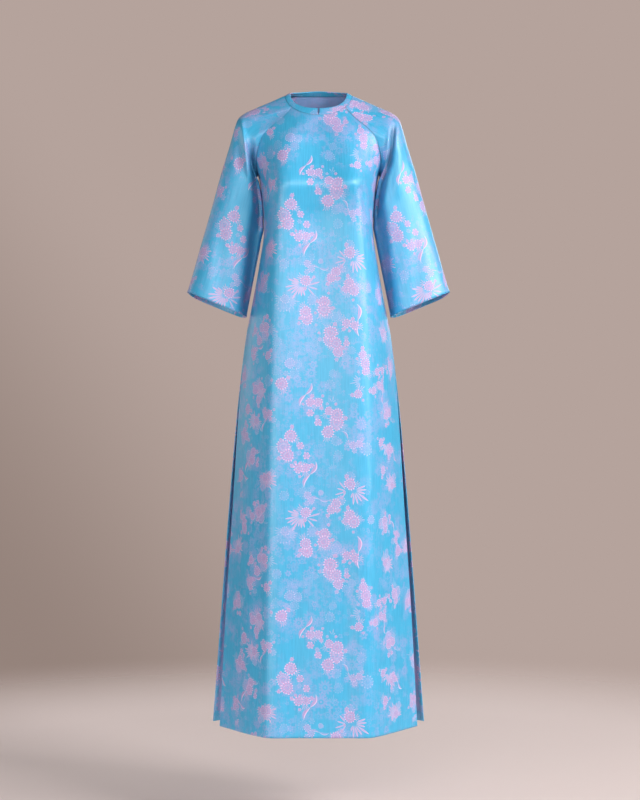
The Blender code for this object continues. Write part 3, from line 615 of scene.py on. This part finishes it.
def cloth_grids():
    """The outer points of the panels and sleeves, with sewn edges still in one place."""
    front = panel_points(FRONT_SECTIONS, 0.0, FRONT_CORNER)
    back = panel_points(BACK_SECTIONS, math.pi, BACK_CORNER)
    left = sleeve_points(front, back)
    right = np.roll(mirrored(left)[:, ::-1], 1, axis=1)
    grids = dict(zip((*PANELS, *SLEEVES), (front, back[:, ::-1], left, right)))
    begins, ends = PANEL_TOP_HOLD
    by_side = smoothstep((1 - np.abs(panel_shares())) / PANEL_SIDE_HOLD)
    for name in PANELS:
        by_top = smoothstep((lengths_along(grids[name]) - begins) / (ends - begins))
        grids[name] = folded(name, grids[name], by_top * by_side)
    for name, side in zip(SLEEVES, (1, -1)):
        by_seam = smoothstep(lengths_along(grids[name]) / SLEEVE_SEAM_HOLD)
        grid = folded(name, grids[name], by_seam)
        normals, run = grid_normals(grid, True), lengths_along(grid)
        sewn = smoothstep(run / SLEEVE_LEAN_HOLD)
        inner = smoothstep(-side * normals[..., 0] / LEAN_FACING) * sewn
        low = 1 - smoothstep((run[-1] - run) / CUFF_DROP_REACH)
        grid[..., 2] -= CUFF_DROP * low * smoothstep(normals[..., 1] / CUFF_DROP_FACING)
        for height, reach, amount in LEANS:
            grid[..., 0] -= side * amount * inner * bell(grid[..., 2] - height, reach)
        grids[name] = grid
    return grids


# --- Edges and flat places ---
def edge_work(name, grid):
    """How far the cloth rises at its edges, and how much painted shade each point takes by a seam,
    with a painted shadow along the lap's edge.
    """
    down = lengths_along(grid)
    roll, seam = bell(down[-1] - down, HEM_ROLL_REACH), bell(down, SEAM_DIP_REACH)
    if name in SLEEVES:
        return HEM_ROLL * roll - SEAM_DIP * seam, PLAIN_SEAM_SHADE * seam
    from_right = lengths_along(grid[..., :2], 1)
    from_left = from_right[:, -1:] - from_right
    edge_z = grid[:, -1:, 2]
    sewn = (edge_z > SLIT_TOP_Z).astype(float)
    lapped = smoothstep((edge_z - UNDERARM_Z) / LAP_FADE) * float(name == "front_panel")
    right, left = (bell(away, SEAM_DIP_REACH) for away in (from_right, from_left))
    seam = np.maximum(seam, sewn * np.maximum(right, left * (1 - lapped)))
    sides = bell(np.minimum(from_right, from_left), HEM_ROLL_REACH)
    rise = HEM_ROLL * np.maximum(roll, (1 - sewn) * sides) - SEAM_DIP * seam
    rise += LAP_LIFT * lapped * bell(from_left, LAP_REACH)
    # Painted shade by the seams, and a painted shadow along the front panel's lapped edge.
    return rise, np.maximum(PLAIN_SEAM_SHADE * seam, LAP_SHADE * lapped * left)


def laid_flat(tube):
    """Where a tube's points lie once it is slit along its first column and flattened.

    Springs as long as the cloth between neighbours pull a rough layout to rest, and the points
    between them follow. The slit's two sides are the first and the last column.
    """
    ring = np.concatenate([tube, tube[:, :1]], axis=1)
    rows, columns = (np.append(np.arange(0, n - 1, FLAT_STEP), n - 1) for n in ring.shape[:2])
    rough = ring[np.ix_(rows, columns)]
    run, across = lengths_along(rough), lengths_along(rough, 1)
    across = across - across.mean(axis=1, keepdims=True)
    flat = np.stack([across, run - run[-1] + run[-1].max()], -1)
    every, early, late = slice(None), slice(None, -1), slice(1, None)
    springs = (
        ((early, every), (late, every)),
        ((every, early), (every, late)),
        ((early, early), (late, late)),
        ((early, late), (late, early)),
    )
    lengths = [np.linalg.norm(rough[b] - rough[a], axis=-1, keepdims=True) for a, b in springs]
    for _ in range(FLAT_PASSES):
        pull = np.zeros_like(flat)
        for (a, b), length in zip(springs, lengths):
            way = flat[b] - flat[a]
            give = way * (1 - length / np.linalg.norm(way, axis=-1, keepdims=True)) * SPRING_GIVE
            pull[a] += give
            pull[b] -= give
        flat += pull
    fine_rows, fine_columns = (np.arange(n) for n in ring.shape[:2])
    wide = [[np.interp(fine_columns, columns, k) for k in row.T] for row in flat]
    wide = np.moveaxis(np.array(wide), 0, -1)
    return np.array([[np.interp(fine_rows, rows, line) for line in k] for k in wide]).T


def cloth_uv(name, grid):
    """Each point's place on the flat cloth, across and down. One more column if closed."""
    if name in SLEEVES:
        return laid_flat(grid)
    across = lengths_along(grid[..., :2], 1)
    middle = grid.shape[1] // 2
    heights, run = grid[:, middle, 2], lengths_along(grid)[:, middle]
    down = np.interp(-grid[..., 2], -heights, run)
    above = np.clip(grid[..., 2] - heights[0], 0, None)
    return np.stack([across - across[:, middle : middle + 1], down - above], -1)


# --- The woven figures ---
def all_figures():
    """The figures of one repeat, faint ones first, because later ones lie on top."""
    rows = [
        dict(kind="flower", across=across, down=down, size=size, turn=0, parts=parts, tone=tone)
        for tone, blossoms in FLOWERS.items()
        for across, down, size, parts in blossoms
    ]
    rows += [
        dict(zip(FIGURE_COLUMNS, (kind, *row)))
        for kind, figures in LEAVES_AND_CURLS.items()
        for row in figures
    ]
    for spray, across, down, degrees, side, strength in STREWN:
        turn = math.radians(degrees)
        for part in SPRAYS[spray]:
            figure = dict(zip(FIGURE_COLUMNS, part))
            x, y = figure["across"] * SPRAY_SCALE * side, figure["down"] * SPRAY_SCALE
            figure["across"] = across + x * math.cos(turn) + y * math.sin(turn)
            figure["down"] = down - x * math.sin(turn) + y * math.cos(turn)
            figure["size"] *= SPRAY_SCALE
            figure["turn"] = figure["turn"] * side + degrees
            figure["tone"] *= strength
            rows.append(figure)
    size, tone = COMPANION_HOST
    hosts = [r for r in rows if r["kind"] == "flower" and r["size"] > size and r["tone"] > tone]
    for number, host in enumerate(hosts):
        for step, row in enumerate(COMPANIONS):
            figure = dict(zip(FIGURE_COLUMNS, row))
            turn = number * COMPANION_TURNS[0] + step * COMPANION_TURNS[1]
            away = figure["across"] * host["size"]
            figure["across"] = host["across"] + math.sin(turn) * away
            figure["down"] = host["down"] - math.cos(turn) * away
            figure["turn"] = -math.degrees(turn)
            figure["tone"] *= host["tone"]
            rows.append(figure)
    return sorted(rows, key=lambda figure: figure["tone"])


def figures_on(uv):
    """The figures that cross each face, as numbers for its corners.

    For each kind and layer these are the corner's place on the figure, the figure's number of
    petals or leaves, and its tone. The first layer lies on top.
    """
    middle = uv.mean(axis=1)
    reach = np.linalg.norm(uv - middle[:, None], axis=-1).max()
    found = {kind: np.tile(NOWHERE, (count, len(uv), 4, 1)) for kind, count in LAYERS.items()}
    used = {kind: np.zeros(len(uv), int) for kind in LAYERS}
    for figure in all_figures()[::-1]:
        kind, size = figure["kind"], figure["size"] / 1000
        centre = np.array([figure["across"], figure["down"]]) / 1000
        centres = centre + np.round((middle - centre) / REPEAT) * REPEAT
        near = np.linalg.norm(middle - centres, axis=1) < size * HALO + reach
        near &= used[kind] < LAYERS[kind]
        x, y = np.moveaxis((uv[near] - centres[near, None]) / size * np.array([1, -1]), -1, 0)
        turn = math.radians(figure["turn"])
        along = x * math.cos(turn) + y * math.sin(turn)
        up = y * math.cos(turn) - x * math.sin(turn)
        rest = [0 * x + figure["parts"], 0 * x + figure["tone"]]
        found[kind][used[kind][near], np.flatnonzero(near)] = np.stack([along, up, *rest], -1)
        used[kind][near] += 1
    return {f"{kind}_{i}": found[kind][i] for kind in LAYERS for i in range(LAYERS[kind])}


# --- Node trees written as sums ---
class Field:
    """A number that varies over a surface. Adding, multiplying and so on makes the nodes."""

    def __init__(self, tree, socket):
        self.tree, self.socket = tree, socket

    def maths(self, operation, *others):
        node = add_node(self.tree, "Math", enumerate((self, *others)), operation=operation)
        return Field(self.tree, node.outputs[0])

    __add__ = partialmethod(maths, "ADD")
    __sub__ = partialmethod(maths, "SUBTRACT")
    __mul__ = partialmethod(maths, "MULTIPLY")
    __truediv__ = partialmethod(maths, "DIVIDE")
    __pow__ = partialmethod(maths, "POWER")
    abs = partialmethod(maths, "ABSOLUTE")
    sine = partialmethod(maths, "SINE")
    cosine = partialmethod(maths, "COSINE")
    angle_from = partialmethod(maths, "ARCTAN2")
    or_more = partialmethod(maths, "MAXIMUM")
    or_less = partialmethod(maths, "MINIMUM")

    def above(self, low, high):
        """0 under low and 1 over high, with a smooth step between."""
        ends = {"Value": self, "From Min": low, "From Max": high}
        node = add_node(self.tree, "MapRange", ends, interpolation_type="SMOOTHSTEP")
        return Field(self.tree, node.outputs["Result"])

    def under(self, low, high):
        return self.above(low, high) * -1 + 1


def feed(tree, value, socket):
    """Links a field or another node's output to an input, or sets the input to a plain value."""
    if isinstance(value, Field):
        value = value.socket
    if isinstance(value, bpy.types.NodeSocket):
        tree.links.new(value, socket)
    else:
        socket.default_value = value


def add_node(tree, kind, inputs=(), **settings):
    """A shader node with its settings made, and its inputs fed by name or number."""
    node = tree.nodes.new("ShaderNode" + kind)
    for key, value in settings.items():
        setattr(node, key, value)
    for key, value in dict(inputs).items():
        feed(tree, value, node.inputs[key])
    return node


def length_of(x, y):
    return (x * x + y * y) ** 0.5


def axes_of(tree, vector):
    return [Field(tree, socket) for socket in add_node(tree, "SeparateXYZ", {0: vector}).outputs]


def colour_mix(tree, factor, first, second):
    ends = {"Factor": factor, 6: first, 7: second}
    return add_node(tree, "Mix", ends, data_type="RGBA").outputs[2]


def cloth_place(tree):
    return add_node(tree, "UVMap", uv_map="cloth").outputs[0]


def noise_on(tree, place, scale, detail=2, stretch=(1.0, 1.0, 1.0)):
    spread = add_node(tree, "Mapping", {"Vector": place, "Scale": stretch})
    inputs = {"Vector": spread.outputs[0], "Scale": scale, "Detail": detail}
    return Field(tree, add_node(tree, "TexNoise", inputs).outputs[0])


def on_cloth(field, scale):
    """Noise that lies still on the cloth, whatever figure it is used in."""
    return noise_on(field.tree, cloth_place(field.tree), scale)


def new_group(name, inputs, outputs):
    """A node group of numbers: its tree, its input fields and the node that its outputs feed."""
    tree = bpy.data.node_groups.new(name, "ShaderNodeTree")
    for keys, way in ((inputs, "INPUT"), (outputs, "OUTPUT")):
        for key in keys:
            tree.interface.new_socket(key, in_out=way, socket_type="NodeSocketFloat")
    entry, leave = tree.nodes.new("NodeGroupInput"), tree.nodes.new("NodeGroupOutput")
    return tree, [Field(tree, entry.outputs[key]) for key in inputs], leave


# --- The drawn figures ---
# Each takes a place on the figure, 1 at its edge, and a number of parts, and gives how far the
# figure covers the cloth, its lines and its light threads.
def flower(x, y, petals):
    """A chrysanthemum: two rings of petals round an eye, with a light knot on each petal's tip."""
    angle = y.angle_from(x)
    uneven = (on_cloth(x, 190) - 0.5) * 0.42 + (on_cloth(x, 62) - 0.5) * 0.34
    r = length_of(x, y) + (angle * 3.0 + petals).sine() * 0.04 + uneven
    petal = (angle * petals * 0.5).cosine().abs()
    edge = petal * 0.20 + 0.76
    cover = (r - edge).under(-0.05, 0.05)
    inner_petal = (angle * petals * 0.5 + 0.8).cosine().abs()
    inner_edge = inner_petal * 0.12 + 0.44
    ring = (r - inner_edge).abs().under(0.02, 0.09)
    eye = (r - 0.17).abs().under(0.02, 0.08)
    between = petal.under(0.25, 0.55) * r.above(0.50, 0.62)
    inner_between = inner_petal.under(0.20, 0.50) * r.above(0.20, 0.28) * r.under(0.40, 0.48)
    line = ring.or_more(eye).or_more(between).or_more(inner_between)
    knot = petal.above(0.60, 0.95) * (r - edge + 0.07).abs().under(0.03, 0.13)
    inner_knot = (r - inner_edge + 0.10).abs().under(0.02, 0.13)
    inner_knot = inner_petal.above(0.50, 0.95) * inner_knot * 0.6
    light = knot.or_more(inner_knot) * cover
    fringe = r.under(0.90, HALO) * on_cloth(x, 300).above(0.44, 0.56)
    cover = cover.or_more(fringe * 0.55)
    return cover, line * cover, light


def leaf(x, y, leaves):
    """Slim bamboo leaves that spread from one point like a fan, the middle ones longest."""
    angle = x.angle_from(y)
    sector = leaves ** -0.8 * 1.75
    middle = (leaves - 1) * 0.5
    number = (angle / sector + middle).maths("ROUND").or_more(0.0).or_less(leaves - 1)
    r, off = length_of(x, y), angle - (number - middle) * sector
    across, along = r * off.sine(), r * off.cosine()
    uneven = (number * 2.4 + 0.6).sine() * 0.16
    share = along / (((number - middle).abs() / leaves) * -0.70 + 0.90 + uneven)
    swell = (share.or_more(0.0).or_less(1.0) ** 1.6 * math.pi).sine()
    beyond = across.abs() - swell**0.8 * 0.048
    cover = beyond.under(-0.016, 0.016) * along.above(0.02, 0.25) * share.under(0.97, 1.0)
    line = across.abs().under(0.004, 0.022) * cover * share.under(0.7, 0.9) * 0.7
    return cover, line, (beyond + 0.016).abs().under(0.006, 0.026) * cover * 0.45


def curl(x, y, slim):
    """A long leaf that twists once, pinched where it turns over."""
    across = x - (y * 2.6).sine() * 0.24
    swell = (y * math.pi).sine().abs() ** 0.7
    width = swell * (y * (math.pi / 2)).cosine().abs() ** 0.35 * 0.125 / slim + 0.010
    cover = (across.abs() - width).under(-0.03, 0.03) * y.abs().under(0.96, 1.0)
    line = (across - width * 0.3).abs().under(0.010, 0.045) * cover
    return cover, line, (across + width * 0.75).abs().under(0.010, 0.045) * cover


def figure_group():
    """All the figures on the cloth: how far they cover it, their lines, light threads and tone."""
    drawn = ("Cover", "Line", "Light")
    whole, _, last = new_group("woven figures", (), (*drawn, "Tone"))
    found = None
    for kind, draw in (("curl", curl), ("leaf", leaf), ("flower", flower)):
        tree, inputs, leave = new_group(kind, ("X", "Y", "Parts"), drawn)
        for key, field in zip(drawn, draw(*inputs)):
            feed(tree, field, leave.inputs[key])
        for layer in reversed(range(LAYERS[kind])):
            place = add_node(whole, "Attribute", attribute_name=f"{kind}_{layer}")
            parts = dict(zip(("X", "Y", "Parts"), axes_of(whole, place.outputs["Vector"])))
            figure = add_node(whole, "Group", node_tree=tree)
            for key, field in parts.items():
                feed(whole, field, figure.inputs[key])
            cover, line, light = (Field(whole, figure.outputs[key]) for key in drawn)
            tone = Field(whole, place.outputs["Alpha"])
            if found is None:
                found = [cover, line, light, tone]
                continue
            keep = cover * -1 + 1
            under = [field * keep for field in found[1:]]
            above = (line, light, tone * cover)
            found = [found[0].or_more(cover), *(low + top for low, top in zip(under, above))]
    for key, field in zip((*drawn, "Tone"), found):
        feed(whole, field, last.inputs[key])
    return whole


def ghosts_on(tree, uv, pitch, share, size, petals, strength):
    """Faint small blossoms strewn over the ground, at most one to each cell of a loose grid."""
    inputs = {"Vector": uv, "Scale": 1 / pitch}
    cells = add_node(tree, "TexVoronoi", inputs, voronoi_dimensions="2D")
    local = {0: uv, 1: cells.outputs["Position"]}
    local = add_node(tree, "VectorMath", local, operation="SUBTRACT")
    x, y, _ = axes_of(tree, local.outputs[0])
    first, second, third = axes_of(tree, cells.outputs["Color"])
    r = length_of(x, y) / (second * size * 0.6 + size * 0.6)
    petal = ((y.angle_from(x) + third * 6) * petals * 0.5).cosine().abs()
    bloom = (r - petal * 0.42).under(0.30, 0.62) * (r - 0.22).abs().above(0.02, 0.14)
    return bloom * first.under(share - 0.02, share + 0.02) * (third * 0.6 + 0.4) * strength


# --- Materials ---
def new_material(name):
    made = bpy.data.materials.new(name)
    made.use_nodes = True
    return made, made.node_tree


def set_surface(tree, surface):
    for key, value in surface.items():
        feed(tree, value, tree.nodes["Principled BSDF"].inputs[key])


def thread_height(tree, uv):
    """The satin's fine threads, with slubs and an uneven hand."""
    u, v, _ = axes_of(tree, uv)
    warp = ((u + v * 0.12) * (2 * math.pi / WARP_PITCH)).sine()
    weft = (v * (2 * math.pi / WEFT_PITCH)).sine()
    return warp * 0.5 + weft * 0.28


def brocade(name, figures, wrong_side=False):
    """Satin brocade: a smooth ground under floated figures, which are a little duller, with painted
    shade by its seams and in its creases.
    """
    made, tree = new_material(name)
    uv = cloth_place(tree)
    drawn = add_node(tree, "Group", node_tree=figures).outputs
    cover, line, light, tone = (Field(tree, drawn[k]) for k in ("Cover", "Line", "Light", "Tone"))
    strength = tone.above(0.0, 0.75)
    streaks = noise_on(tree, uv, 60, 3, (6.0, 0.35, 1.0))
    mottle = noise_on(tree, uv, 330)
    where = noise_on(tree, uv, 13, 3).above(0.42, 0.60)
    drifts = noise_on(tree, uv, 11).above(0.42, 0.56)
    blooms, sprays, buds = (ghosts_on(tree, uv, *row) for row in GHOSTS)
    mist = noise_on(tree, uv, 70, 3).above(0.44, 0.62) * where * drifts * 0.58
    ghost = (blooms * drifts).or_more(sprays * drifts).or_more(buds * where).or_more(mist)
    ground = colour_mix(tree, streaks.above(0.35, 0.75) * 0.45, GROUND, GROUND_DEEP)
    ground = colour_mix(tree, ghost * (mottle.above(0.30, 0.62) * 0.5 + 0.5), ground, LILAC)
    figure = colour_mix(tree, tone.above(0.30, 0.80), LILAC, PINK)
    figure = colour_mix(tree, mottle.above(0.40, 0.60) * 0.48, figure, LILAC)
    woven = mottle.above(0.24, 0.44) * 0.25 + 0.75
    colour = colour_mix(tree, cover * strength * woven * (line * -0.70 + 1), ground, figure)
    colour = colour_mix(tree, light * strength * 0.72, colour, LIGHT_THREAD)
    if wrong_side:
        colour = colour_mix(tree, 0.62, colour, WRONG_SIDE)
    # The 'seam' attribute is painted shade: by the seams, a painted shadow along the lap's edge,
    # and in sharp creases.
    seam = Field(tree, add_node(tree, "Attribute", attribute_name="seam").outputs["Fac"])
    bump = {"Height": thread_height(tree, uv) + streaks * 2.0, "Strength": 0.10, "Distance": 0.0002}
    grain = add_node(tree, "Tangent", direction_type="UV_MAP", uv_map="cloth")
    rough = WRONG_ROUGHNESS if wrong_side else RIGHT_ROUGHNESS
    surface = SATIN | {
        "Base Color": colour_mix(tree, seam.or_less(1.0) * 0.55, colour, PAINTED_SHADE),
        "Roughness": cover * strength * 0.14 + streaks * 0.10 + rough,
        "Tangent": grain.outputs[0],
        "Normal": add_node(tree, "Bump", bump).outputs[0],
    }
    set_surface(tree, surface)
    return made


# --- Making the garment ---
def quads(rows, columns, closed):
    """Faces of a grid, [face, corner, (row, column)]; a closed grid's columns run past its last."""
    r, c = np.mgrid[0 : rows - 1, 0 : columns if closed else columns - 1]
    corners = ((r, c), (r + 1, c), (r + 1, c + 1), (r, c + 1))
    return np.stack([np.stack(corner, -1) for corner in corners], axis=2).reshape(-1, 4, 2)


def shell(name, walls, uvs, seams, materials, closed=False, wrong_side=0):
    """A thin closed shell between two walls' grids of points, with the cloth's uv on each.

    A closed grid's last column meets its first, and its uv has one more column.
    """
    rows, columns = walls[0].shape[:2]
    wall = quads(rows, columns, closed)
    sides = [0, rows * columns]
    faces = [(wall, sides[0], 0, uvs[0]), (wall[:, ::-1], sides[1], wrong_side, uvs[1])]
    across, down = np.arange(columns + closed), np.arange(rows)
    edges = [(0 * across, across), (0 * across + rows - 1, across)]
    if not closed:
        edges += [(down, 0 * down), (down, 0 * down + columns - 1)]
    for edge in edges:
        line = np.stack(edge, -1)
        rim = np.stack([line[:-1], line[1:], line[1:], line[:-1]], 1)
        faces.append((rim, np.repeat(sides, 2), 0, uvs[0]))
    index = np.concatenate([f[..., 0] * columns + f[..., 1] % columns + s for f, s, _, _ in faces])
    places = np.concatenate([uv[f[..., 0], f[..., 1]] for f, _, _, uv in faces])
    slots = np.concatenate([np.full(len(f), slot) for f, _, slot, _ in faces])
    data = bpy.data.meshes.new(name)
    data.from_pydata(np.concatenate(walls).reshape(-1, 3).tolist(), [], index.tolist())
    layer = data.uv_layers.new(name="cloth")
    layer.data.foreach_set("uv", (places * np.array([1.0, -1.0])).astype(np.float32).ravel())
    data.polygons.foreach_set("material_index", slots.astype(np.int32))
    # Each point's painted shade, by seams, along the lap's edge and in creases, kept as the 'seam'
    # attribute.
    if seams:
        made = data.attributes.new("seam", "FLOAT", "POINT")
        made.data.foreach_set("value", np.concatenate(seams).astype(np.float32).ravel())
    for key, numbers in figures_on(places).items():
        made = data.attributes.new(key, "FLOAT_COLOR", "CORNER")
        made.data.foreach_set("color", numbers.astype(np.float32).ravel())
    solid = bmesh.new()
    solid.from_mesh(data)
    bmesh.ops.recalc_face_normals(solid, faces=solid.faces)
    solid.to_mesh(data)
    solid.free()
    return add_object(name, data, materials)


def add_object(name, data, materials):
    data.shade_smooth()
    for material in materials:
        data.materials.append(material)
    made = bpy.data.objects.new(name, data)
    bpy.context.scene.collection.objects.link(made)
    return made


def neck_seam(grids):
    """The seam's points, from centre front round by the wearer's right to the front again."""
    front, back, left = (grids[name][0] for name in (*PANELS, "sleeve_left"))
    by_sleeve = np.concatenate([left[1 - NECK_STEPS :], left[:NECK_STEPS]])
    half = np.concatenate([front[len(front) // 2 :], by_sleeve])
    return np.concatenate([mirrored(half), back[::-1], half[::-1]])


def band_points(lower):
    """The neck band's grid of points, [row, column], from its seam to its top edge."""
    height = np.linspace(0, 1, BAND_ROWS + 1)[:, None, None]
    inward = unit(-lower * np.array([1.0, 1.0, 0.0]))
    to_front, to_back = np.clip(inward[:, 1], 0, 1) ** 2, np.clip(-inward[:, 1], 0, 1) ** 2
    front, side, back = BAND_HEIGHTS
    rise = side + (front - side) * to_front + (back - side) * to_back
    upper = lower + BAND_LEAN * inward + rise[:, None] * np.array([0.0, 0.0, 1.0])
    return lower * (1 - height) + upper * height


def make_band(lower, material):
    """The neck band as one soft-edged fold of cloth, with its corners rounded at the notch."""
    grid = band_points(lower)
    normals = grid_normals(grid, False, passes=1)
    height = np.linspace(0, 1, BAND_ROWS + 1)
    part = NOTCH_FOOT + (NOTCH_HALF_WIDTH - NOTCH_FOOT) * height**NOTCH_SPREAD
    grid[:, 0, 0], grid[:, -1, 0] = -part, part
    run = lengths_along(grid[..., :2], 1)[-1]
    inside = np.clip(NOTCH_CORNER - np.minimum(run, run[-1] - run), 0, NOTCH_CORNER)
    lost = NOTCH_CORNER - np.sqrt(NOTCH_CORNER**2 - inside**2)
    kept = 1 - lost / np.linalg.norm(grid[-1] - grid[0], axis=-1)
    share = height[:, None, None] * kept[None, :, None]
    outer = grid[0] * (1 - share) + grid[-1] * share
    half = BAND_WALL / 2
    middle = outer - normals * half
    up = unit(outer[-1] - outer[-2])
    turns = np.linspace(0, math.pi, BAND_TOP_STEPS + 2)[1:-1]
    top = [middle[-1] + half * (normals[-1] * math.cos(a) + up * math.sin(a)) for a in turns]
    puff = BAND_PUFF * np.sin(math.pi * height)[:, None, None]
    loop = np.concatenate([outer + normals * puff, top, (middle - normals * half)[::-1]])
    down = -lengths_along(loop)
    uv = np.stack([run + 0 * down, down], -1) + CUT_FROM["neck_band"]
    # Painted shade along the band's seam, on its outer lower row.
    seam = np.zeros(loop.shape[:2])
    seam[0] = 1.0
    fold = len(loop) // 2
    halves = [(v[:fold], v[: fold - 1 : -1]) for v in (loop, uv, seam)]
    return shell("collar_band", *halves, [material])


def turned_hem(name, edge, depth, material, closed=False):
    """A turned hem: a strip of cloth on the wrong side, from an edge inwards.

    edge holds the wrong side's points, its normals and its places on the cloth, each as
    [place along the edge, step inwards]. A closed edge's last place is its first one again.
    """
    run, wanted = lengths_along(edge[0], 1), np.array(HEM_STEPS) * depth

    def at_steps(values):
        found = [[np.interp(wanted, r, k) for k in v.T] for r, v in zip(run, values)]
        return np.array(found).transpose(2, 0, 1)

    base, away, uv = (at_steps(values) for values in edge)
    away = -unit(away)
    walls = base + away * np.array(HEM_LIFTS)[:, None, None], base + away * HEM_FOOT
    if closed:
        walls = [wall[:, :-1] for wall in walls]
    return shell(name, walls, (uv, uv), None, [material], closed)


def make_hems(name, outer, sheets, material):
    """The turned hems of a panel's slits and foot, or of a sleeve's cuff."""
    foot = slice(None, -HEM_ROWS - 1, -1)
    if name in SLEEVES:
        round_cuff = [np.concatenate([values, values[:, :1]], axis=1) for values in sheets[:2]]
        edge = [np.swapaxes(values[foot], 0, 1) for values in (*round_cuff, sheets[2])]
        return [turned_hem(f"{name}_cuff_hem", edge, CUFF_HEM, material, True)]
    first, half = np.argmax(outer[:, 0, 2] < SLIT_TOP_Z), outer.shape[1] // 2
    hems = []
    sides = ("right", "left") if name == "front_panel" else ("left", "right")
    for side, columns in zip(sides, (slice(0, half), slice(None, half, -1))):
        edge = [values[first:, columns] for values in sheets]
        hems.append(turned_hem(f"{name}_slit_hem_{side}", edge, SLIT_HEM, material))
    edge = [np.swapaxes(values[foot], 0, 1) for values in sheets]
    return [*hems, turned_hem(f"{name}_hem", edge, PANEL_HEM, material)]


def make_piece(name, outer, right, wrong):
    """A panel or a sleeve as a thin shell, and its turned hems."""
    closed = name in SLEEVES
    normals = grid_normals(outer, closed, passes=2)
    # Painted shade by the seams, along the lap's edge and deep in sharp creases, which darkens the
    # cloth's colour.
    rise, seam = edge_work(name, outer)
    seam = np.maximum(seam, crease_shade(name, outer))
    outer = outer + normals * rise[..., None]
    if closed:
        # The first column moves to the underarm, where the flat cloth is cut.
        turn = outer.shape[1] // 2
        outer, normals, seam = (np.roll(values, turn, axis=1) for values in (outer, normals, seam))
    inner = outer - normals * CLOTH
    uv = cloth_uv(name, outer) + CUT_FROM[name]
    walls, uvs, seams = (outer, inner), (uv, uv), (seam, seam)
    cloth = shell(f"{name}_cloth", walls, uvs, seams, [right, wrong], closed, wrong_side=1)
    return cloth, make_hems(name, outer, (inner, normals, uv), right)


# --- Stage, light and camera ---
def stage_piece(name, solid, material):
    data = bpy.data.meshes.new(name)
    solid.to_mesh(data)
    solid.free()
    made = add_object(name, data, [material])
    return made


def make_backdrop():
    """A wide ball of warm grey all round, with painted shade darkening it towards the low left,
    which only the camera sees.
    """
    material, tree = new_material("backdrop")
    x, _, z = axes_of(tree, add_node(tree, "TexCoord").outputs["Object"])
    tree.nodes.remove(tree.nodes["Principled BSDF"])
    # Painted shade: the ball darkens towards the low left.
    low_left = (x * -0.8 - z * 0.6).above(BACKDROP_REACH * 0.05, BACKDROP_REACH * 0.28)
    colour = colour_mix(tree, low_left, BACKDROP_COLOUR, PAINTED_CORNER_SHADE)
    glow = add_node(tree, "Emission", {"Color": colour})
    tree.links.new(glow.outputs[0], tree.nodes["Material Output"].inputs["Surface"])
    ball = bmesh.new()
    bmesh.ops.create_uvsphere(ball, u_segments=24, v_segments=12, radius=BACKDROP_REACH)
    made = stage_piece("backdrop", ball, material)
    for rays in ("diffuse", "glossy", "transmission", "shadow"):
        setattr(made, f"visible_{rays}", False)


def make_floor():
    """A pale floor that runs out softly into the backdrop."""
    material, tree = new_material("floor")
    x, y, _ = axes_of(tree, add_node(tree, "TexCoord").outputs["Object"])
    away = length_of(x - FLOOR_MIDDLE[0], y - FLOOR_MIDDLE[1])
    set_surface(tree, FLOOR_SURFACE | {"Alpha": away.under(*FLOOR_FADE)})
    sheet = bmesh.new()
    bmesh.ops.create_grid(sheet, x_segments=1, y_segments=1, size=FLOOR_REACH)
    bmesh.ops.translate(sheet, verts=sheet.verts, vec=(*FLOOR_MIDDLE, FLOOR_Z))
    stage_piece("floor", sheet, material)


def make_light_and_camera():
    scene = bpy.context.scene
    scene.view_settings.view_transform = "Standard"
    scene.world = bpy.data.worlds.new("studio")
    scene.world.use_nodes = True
    sky = scene.world.node_tree.nodes["Background"].inputs
    sky["Color"].default_value, sky["Strength"].default_value = WORLD_COLOUR, WORLD_STRENGTH
    for name, place, target, size, power, colour, spread in LIGHTS:
        data = bpy.data.lights.new(name, "AREA")
        data.shape, data.size, data.size_y = "RECTANGLE", *size
        data.energy, data.color, data.spread = power, colour, math.radians(spread)
        made = bpy.data.objects.new(name, data)
        made.location, made.visible_camera = place, False
        way = Vector(target) - Vector(place)
        made.rotation_euler = way.to_track_quat("-Z", "Y").to_euler()
        scene.collection.objects.link(made)
    scene.camera = bpy.data.objects.new("camera", bpy.data.cameras.new("camera"))
    scene.camera.data.lens, scene.camera.data.sensor_width = CAMERA_LENS, CAMERA_SENSOR
    scene.camera.location, scene.camera.rotation_euler = CAMERA_PLACE, (math.pi / 2, 0, 0)
    scene.collection.objects.link(scene.camera)


def main():
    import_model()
    make_backdrop()
    make_floor()
    make_light_and_camera()
    figures = figure_group()
    right = brocade("satin_brocade", figures)
    wrong = brocade("brocade_wrong_side", figures, wrong_side=True)
    grids = cloth_grids()
    band = make_band(neck_seam(grids), right)
    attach(band, "root")
    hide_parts("neck_band")
    for name, grid in grids.items():
        cloth, hems = make_piece(name, grid, right, wrong)
        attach(cloth, "root")
        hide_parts(name)
        for hem in hems:
            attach(hem, "root")


main()
